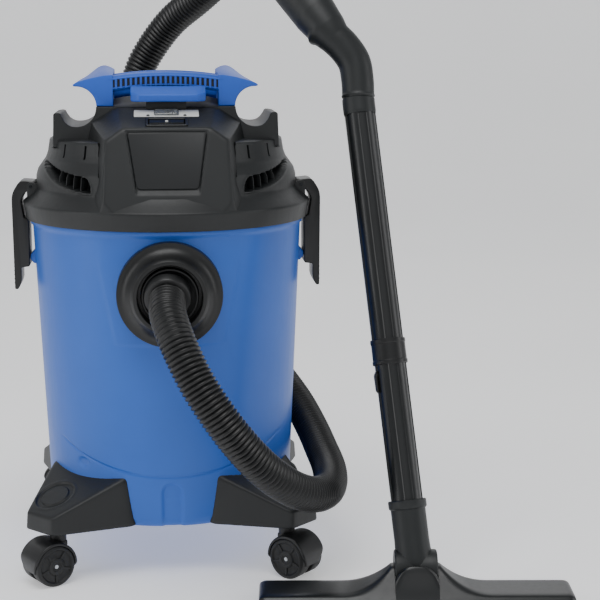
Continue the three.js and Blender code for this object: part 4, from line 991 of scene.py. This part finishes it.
def feet():
    corner = foot_skin()
    for tag, sx, sy in CORNERS:
        skin = mirrored(corner, 0) if sx < 0 else corner
        skin = mirrored(skin, 1) if sy < 0 else skin
        piece(f"foot_{tag}_fine", skin, black_shell, "drum", [f"foot_{tag}"], 50)


feet()


# ---------------------------------------------------------------- casters
AXLE_Y, AXLE_Z = 14.0, 25.0
CASTER_TURN = {"front_left": 212, "front_right": 318, "rear_left": 128, "rear_right": 42}


def caster_hood():
    """A shell whose section, a rounded channel across the wheels, is carried round an arc about the axle."""
    a = np.radians(np.linspace(-14, 200, 54))
    taper = ease(np.degrees(a), -14, 24) * (1 - ease(np.degrees(a), 178, 200))
    half = 14 + 6.5 * taper
    outer = 26.6 + 2.0 * taper
    corners = [(-1, outer - 3.4), (-1, outer), (1, outer), (1, outer - 3.4)]
    section = np.stack([np.stack([w * half, r], axis=1) for w, r in corners], axis=1)
    section = soften(section, [0.6, 2.6, 2.6, 0.6], 6)
    rings = np.stack([section[..., 0], AXLE_Y + section[..., 1] * np.cos(a)[:, None],
                      AXLE_Z + section[..., 1] * np.sin(a)[:, None]], axis=-1)
    return lofted(rings)


def caster_wheel():
    """Turned about the axle: a soft tread, a dished face, a raised hub ring and cap, and five low ribs."""
    profile = [(2.9, 4.5), (24, 4.5), (24.7, 5), (25, 6.2), (25, 18.3), (24.6, 19.6), (23.4, 20.6),
               (22, 21.2), (20.6, 21), (19.8, 20), (18.8, 19.2), (11.5, 19.2), (10.6, 19.8), (10, 21),
               (9, 21.5), (5.8, 21.5), (5.2, 20.8), (4.4, 20.6), (2.9, 20.6)]
    wheel = turned(profile, 72, closed=True)
    ribs = []
    for n in range(5):
        outline = soften([(10, -1.6), (20.3, -1.2), (20.3, 1.2), (10, 1.6)], 0.6, 3)
        rib = slab(outline, 18.9, 20.5, 0.6, 3, "z")
        ribs.append(moved(rib, Matrix.Rotation(np.radians(72 * n), 4, "Z")))
    lay = Matrix.Translation((0, AXLE_Y, AXLE_Z)) @ Matrix.Rotation(np.pi / 2, 4, "Y")
    return [moved(s, lay) for s in [wheel] + ribs]


def casters():
    """Hood, collar, stem and web on the swivelling body, with a wheel on each side of the web."""
    collar = turned([(0.4, 50.6), (9.2, 50.6), (10, 51.4), (10, 60.8), (9.4, 61.6), (5, 61.6), (5, 79.4),
                     (4.4, 80), (0.4, 80)], 40)
    neck = slab(soften([(-9, 44), (-9, 51.2), (5, 51.4), (17, 51), (17, 44)], [1, 3, 6, 4, 1], 5),
                -8, 8, 2, 4, "x")
    web = slab(soften([(-3, 30), (-3, 49), (28, 49), (31, 30), (20, 16), (8, 16)], [4, 4, 5, 5, 5, 5], 5),
               -3.4, 3.4, 0.5, 2, "x")
    for tag, sx, sy in CORNERS:
        turn = Matrix.Rotation(np.radians(CASTER_TURN[tag] - 90), 4, "Z")
        stand = Matrix.Translation((sx * CASTER_X, sy * CASTER_Y, 0)) @ turn
        yoke = [moved(s, stand) for s in (caster_hood(), collar, neck, web)]
        piece(f"caster_yoke_{tag}_fine", yoke, black_smooth, f"caster_{tag}", [f"caster_yoke_{tag}"])
        for side, flip in (("a", False), ("b", True)):
            skins = [moved(mirrored(s) if flip else s, stand) for s in caster_wheel()]
            piece(f"caster_wheel_{side}_{tag}_fine", skins, tread, f"wheels_{tag}",
                  [f"caster_wheel_{side}_{tag}"])


casters()


# ---------------------------------------------------------------- wand
WAND_BACK, WAND_SIDE = np.radians(-16.7), np.radians(-5)
WAND = Matrix.Translation(PIVOT) @ Matrix.Rotation(WAND_BACK, 4, "X") @ Matrix.Rotation(WAND_SIDE, 4, "Y")
NOZZLE = Matrix.Translation((PIVOT[0], PIVOT[1], 0)) @ Matrix.Rotation(np.radians(NOZZLE_TURN), 4, "Z")
TUBE_R = 18.7
FLUTES = 6


def in_wand(point):
    return np.array(WAND.inverted() @ Vector(point))


def fluted(start, end):
    """Round tube with broad sunk flutes between its plain ends: where -cos(n a) passes -0.35 to 0 the radius
    steps down by 1.3 mm. The rims are rounded and the bore is two millimetres inside."""
    a = np.linspace(0, 2 * np.pi, 240, endpoint=False)
    z = np.concatenate([[start, start, start + 0.3], steps((start + 1, start + 3, 1)),
                        steps((start + 3, end - 3, 12)), [end - 2, end - 1, end - 0.3, end, end]])
    rim = np.minimum(np.abs(z - start), np.abs(z - end))
    r = TUBE_R - 0.8 * (1 - np.minimum(rim, 1.0)) ** 2
    r[[0, -1]] = TUBE_R - 2
    deep = 1.3 * ease(rim, 1, 3)
    hollow = ease(-np.cos(FLUTES * a), -0.35, 0.0)
    radius = r[:, None] - deep[:, None] * hollow[None]
    bore = np.full((2, len(a)), TUBE_R - 2.0)
    radius = np.vstack([radius, bore])
    z = np.concatenate([z, [end - 1, start + 1]])[:, None] + 0 * a
    return lofted(np.stack([radius * np.cos(a), radius * np.sin(a), z], axis=-1), closed=True)


def wand():
    """Neck, two fluted tubes, their coupling ring and stop, all turned about the wand's own axis."""
    neck = turned([(15.5, -12), (15.5, 33.4), (17.9, 33.6), (17.9, 79), (18.5, 80), (21.6, 80), (22.4, 79.2),
                   (22.4, 72), (21.8, 70.4), (20.5, 69.4), (20.4, 66), (20.4, 34), (20.8, 24), (21.9, 14),
                   (22.4, 4), (21.6, -8), (19, -16), (15.5, -17)], 96, closed=True)
    barrel_profile = [(0.4, -24.6), (21.6, -24.6), (23, -23.2), (23, -8), (22.6, -7.2), (22.6, 7.2), (23, 8),
                      (23, 23.2), (21.6, 24.6), (0.4, 24.6)]
    square = Matrix.Translation(PIVOT) @ Matrix.Rotation(np.radians(NOZZLE_TURN), 4, "Z")
    barrel = moved(turned(barrel_profile, 96), square @ Matrix.Rotation(np.pi / 2, 4, "Y"))
    piece("nozzle_neck_fine", [moved(neck, WAND), barrel], black_satin, "wand", ["nozzle_neck"])
    piece("wand_lower_tube_fine", moved(fluted(34, 248), WAND), black_gloss, "wand", ["wand_lower_tube"])
    piece("wand_upper_tube_fine", moved(fluted(248.4, 562.4), WAND), black_gloss, "wand", ["wand_upper_tube"])
    ring = turned([(17.9, 239), (20.1, 239), (20.8, 239.8), (20.8, 243.4), (20.2, 244.2), (20.2, 263.6),
                   (20.8, 264.4), (20.8, 268.2), (20.1, 269), (17.9, 269)], 80, closed=True)
    piece("wand_coupling_fine", moved(ring, WAND), black_smooth, "wand", ["wand_coupling"])
    stop = slab(soften([(-17.2, 206), (-20.6, 209), (-20.9, 229), (-17.2, 233.4)], [1, 2, 2.5, 1], 4),
                -6, 6, 1.6, 4)
    piece("wand_lug_fine", moved(stop, WAND), black_smooth, "wand", ["wand_lug"])


def grip_path():
    """The grip's middle line, in the wand's own axes: straight off the tube, then a long bend to the hose."""
    bend = [in_wand(p) for p in ((229, -96, 595.4), (225.5, -90, 616.7), (213.9, -85, 634.4))]
    knots = [(0, 0, 540), (0, 0, 556), *bend, in_wand(GRIP_BEND), in_wand((175, -58, 681.9)),
             in_wand(GRIP_END)]
    return curve_through(knots, 150)


def grip():
    """Tube along the grip's line: a plain socket with a groove round it, a long bend that swells towards the
    hose, and a finger stop raised on its under side only."""
    path = grip_path()
    run = np.concatenate([[0], np.cumsum(np.linalg.norm(np.diff(path, axis=0), axis=1))])
    corner = run[np.argmin(np.linalg.norm(path - in_wand(GRIP_BEND), axis=1))]
    end = run[-1]
    r = np.interp(run, [0, 1.5, 3, 21, 24, 26, corner - 6, corner - 1, corner + 3, corner + 8, corner + 34,
                        end - 6, end - 2, end],
                  [18.9, 19.3, 19.6, 19.6, 19.5, 19.4, 20.4, 21.6, 22.6, 23.8, 27, 27.4, 27, 24.6])
    ring = 0.7 * np.exp(-((run - 23) / 1.2) ** 2) - 1.4 * np.exp(-((run - 20.6) / 0.8) ** 2)
    _, side, up = carried_frames(path)
    a = np.linspace(0, 2 * np.pi, 72, endpoint=False)
    below = np.array(WAND.to_3x3().inverted() @ Vector((-0.5, 0.1, -0.85)))
    facing_down = np.cos(a) * (side @ below)[:, None] + np.sin(a) * (up @ below)[:, None]
    lip = 2.6 * np.exp(-((run - corner - 10) / 3.5) ** 2)[:, None] * ease(facing_down, -0.1, 0.9)
    shape = 1 + (ring[:, None] + lip) / r[:, None]
    piece("wand_grip_fine", moved(along(path, r, 72, shape), WAND), black_satin, "wand", ["wand_grip"])


wand()
grip()


# ---------------------------------------------------------------- nozzle
def evened(ring, count):
    """A closed outline resampled to the same number of evenly spaced points, starting from its first."""
    shut = np.vstack([ring, ring[:1]])
    run = np.concatenate([[0], np.cumsum(np.linalg.norm(np.diff(shut, axis=0), axis=1))])
    want = np.linspace(0, run[-1], count, endpoint=False)
    return np.stack([np.interp(want, run, shut[:, n]) for n in (0, 1)], axis=1)


def nozzle_section(x):
    """Outline (y, z) across the nozzle at x: a low bar, the hollow-sided cheeks beside the knuckle, and
    between them a seat with an upright tongue in front."""
    s = abs(x)
    end = max(0.0, s - 172) / 9
    squeeze = 9 * (1 - np.sqrt(max(0.0, 1 - end ** 2)))
    rise = 24 * np.clip((88 - s) / 60, 0, 1) ** 2.3
    if s >= 25:
        y0, y1 = -40 + rise, 17 - rise * 0.2
        corners = [(-49 + squeeze, 4.8), (-49 + squeeze, 10), (-41 + squeeze * 0.4, 18.6 - squeeze * 0.5),
                   (y0 + 1, 20.4 + 0.8 * rise - squeeze * 0.6), (y0 + 7, 21.4 + rise - squeeze * 0.6),
                   (y1 - 7, 22 + rise - squeeze * 0.6), (y1, 19 + 0.8 * rise - squeeze * 0.6),
                   (23 - squeeze, 11), (23 - squeeze, 4.8)]
        return evened(soften(corners, [1.5, 3, 5, 4, 4, 4, 3, 3, 1.5], 5), 72)
    high = 53 - 14 * (s / 24) ** 3
    a = np.radians(np.linspace(186, 292, 14))
    seat = np.stack([23.9 * np.cos(a), PIVOT[2] + 23.9 * np.sin(a)], axis=1)
    front = [(-49, 4.8), (-49, 10), (-42, 18.6), (-38.5, 26), (-34, high - 3), (-32, high), (-29, high + 0.4),
             (-27, high - 1.5), (-25.4, 40)]
    back = [(14, 20.4), (18.5, 19), (23, 11), (23, 4.8)]
    corners = np.vstack([front, seat, back])
    radius = [1.5, 3, 4, 6, 2, 1.5, 1.5, 1.5, 1] + [0.5] * len(seat) + [1, 3, 3, 1.5]
    return evened(soften(corners, radius, 4), 72)


def nozzle():
    """The sections set side by side across the nozzle, closer where the shape turns quickly."""
    x = np.concatenate([steps((-181, -172, 0.6), (-172, -90, 8), (-90, -25.4, 1.6)), [-25.05, -24.95],
                        steps((-24.4, 24.4, 1.6)), [24.95, 25.05],
                        steps((25.4, 90, 1.6), (90, 172, 8), (172, 181, 0.6))])
    rings = np.stack([np.column_stack([np.full(72, v), nozzle_section(v)]) for v in x])
    piece("nozzle_body_fine", moved(lofted(rings), NOZZLE), black_gloss, "drum", ["nozzle_body"],
          42)


nozzle()


# ---------------------------------------------------------------- inside and behind
def pleated_filter():
    """Folded felt: the radius is a rounded zigzag with 72 folds, between two flat end rings."""
    folds = 72
    node_low, node_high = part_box("filter")
    low, high = node_low[2] / MM, node_high[2] / MM
    a = np.linspace(0, 2 * np.pi, folds * 4, endpoint=False)
    fold = np.arcsin(0.96 * np.sin(folds * a)) / (np.pi / 2)
    z = np.linspace(low + 6, high - 6, 6)[:, None] + 0 * a
    outer = 67.5 + 4.2 * fold + 0 * z
    inner = 61.5 + 3.0 * fold + 0 * z
    radius, high_z = np.vstack([outer, inner[::-1]]), np.vstack([z, z[::-1]])
    pleats = lofted(np.stack([radius * np.cos(a), radius * np.sin(a), high_z], axis=-1), closed=True)
    caps = [turned([(58, z0), (58, z0 + 7), (73, z0 + 7), (74, z0 + 6), (74, z0 + 1), (73, z0)], 96,
                   closed=True) for z0 in (low, high - 7)]
    piece("filter_pleats", pleats, felt, "filter_set", ["filter"], 60)
    piece("filter_end_rings", caps, seal_rubber, "filter_set")


def cord_gland():
    """Ribbed strain relief turned about its axis, in the head's rear wall."""
    y = np.sqrt(153.0 ** 2 - 60.0 ** 2)
    profile = [(3.9, y - 25), (8.6, y - 25), (8.6, y + 8), (11.4, y + 8), (12, y + 8.6), (12, y + 10.4),
               (11.4, y + 11), (7.4, y + 11)]
    for n in range(6):
        z = y + 13 + n * 3.6
        r = 7.2 - 0.28 * n
        profile += [(r - 0.9, z - 0.6), (r - 0.9, z + 0.6), (r, z + 1.0), (r - 0.1, z + 2.4)]
    profile += [(5.4, y + 33.6), (5, y + 34), (3.9, y + 34)]
    seat = Matrix.Translation((60, 0, BRIM_Z + 30)) @ Matrix.Rotation(-np.pi / 2, 4, "X")
    piece("cord_gland_fine", moved(turned(profile, 48, closed=True), seat), seal_rubber, "head",
          ["cord_gland"])


def finish_carried_over():
    """The nodes whose shape is right keep it, and take their finish on the object's own slots."""
    finishes = {"inlet_deflector": black_smooth, "base_plate": black_shell, "rim_gasket": seal_rubber,
                "motor_housing": grey_housing, "fan_rotor": aluminium, "float_cage": black_smooth,
                "float_cup": white_float, "filter_retainer": black_smooth,
                "nozzle_front_strip": bristle, "nozzle_rear_strip": seal_rubber,
                "latch_pin_left": steel_black, "latch_pin_right": steel_black}
    finishes.update({f"caster_axle_{tag}": steel for tag, _, _ in CORNERS})
    for name, finish in finishes.items():
        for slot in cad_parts[name].material_slots:
            slot.link = "OBJECT"
            slot.material = finish


pleated_filter()
cord_gland()
finish_carried_over()


# ---------------------------------------------------------------- floor and light
def stage():
    """A pale floor that sweeps up far behind, and a pale world."""
    x = np.array([-6.0, 6.0])
    a = np.radians(np.linspace(0, 90, 24))
    y = np.concatenate([[-4.0], 3.0 + 1.5 * np.sin(a), [4.5]])
    z = np.concatenate([[0.0], 1.5 * (1 - np.cos(a)), [5.0]])
    points = np.stack(np.broadcast_arrays(x[:, None], y[None], z[None]), axis=-1).reshape(-1, 3)
    n = len(y)
    faces = [(i, n + i, n + i + 1, i + 1) for i in range(n - 1)]
    mesh = bpy.data.meshes.new("floor")
    mesh.from_pydata(points.tolist(), [], faces)
    mesh.polygons.foreach_set("use_smooth", np.ones(len(faces), bool))
    made = bpy.data.objects.new("floor", mesh)
    bpy.context.scene.collection.objects.link(made)
    paper, tree, bsdf, place = surface("paper_backdrop_white", {"Roughness": 0.95, "Emission Strength": 0.36,
                                                                "Emission Color": (1.0, 1.0, 1.0, 1.0)})
    tint(tree, bsdf, noise(tree, place, 700.0), [(0.3, "#f1f1f2"), (0.7, "#f6f6f6")])
    mesh.materials.append(paper)
    world = bpy.data.worlds.new("studio")
    world.use_nodes = True
    world.node_tree.nodes["Background"].inputs["Color"].default_value = (0.95, 0.97, 1.0, 1.0)
    world.node_tree.nodes["Background"].inputs["Strength"].default_value = 0.46
    bpy.context.scene.world = world


def light(name, where, towards, size, power, height=None):
    """A soft box: a rectangle of light that faces a point. Sizes in metres."""
    lamp = bpy.data.lights.new(name, "AREA")
    lamp.shape = "RECTANGLE"
    lamp.size, lamp.size_y = size, height or size
    lamp.energy = power
    made = bpy.data.objects.new(name, lamp)
    made.location = where
    made.rotation_euler = (Vector(towards) - Vector(where)).to_track_quat("-Z", "Y").to_euler()
    bpy.context.scene.collection.objects.link(made)


stage()
light("key_above", (-0.3, -0.9, 2.4), (0, 0, 0.35), 1.4, 27)
light("strip_left", (-2.0, -0.7, 0.9), (0, 0, 0.35), 0.7, 9, 1.8)
light("strip_right", (2.1, -0.5, 1.0), (0.1, 0, 0.4), 0.7, 9, 1.8)
light("fill_front", (0.2, -2.6, 1.1), (0, 0, 0.3), 2.2, 5)
light("rim_behind", (0.4, 2.1, 1.7), (0, 0, 0.4), 1.4, 3)
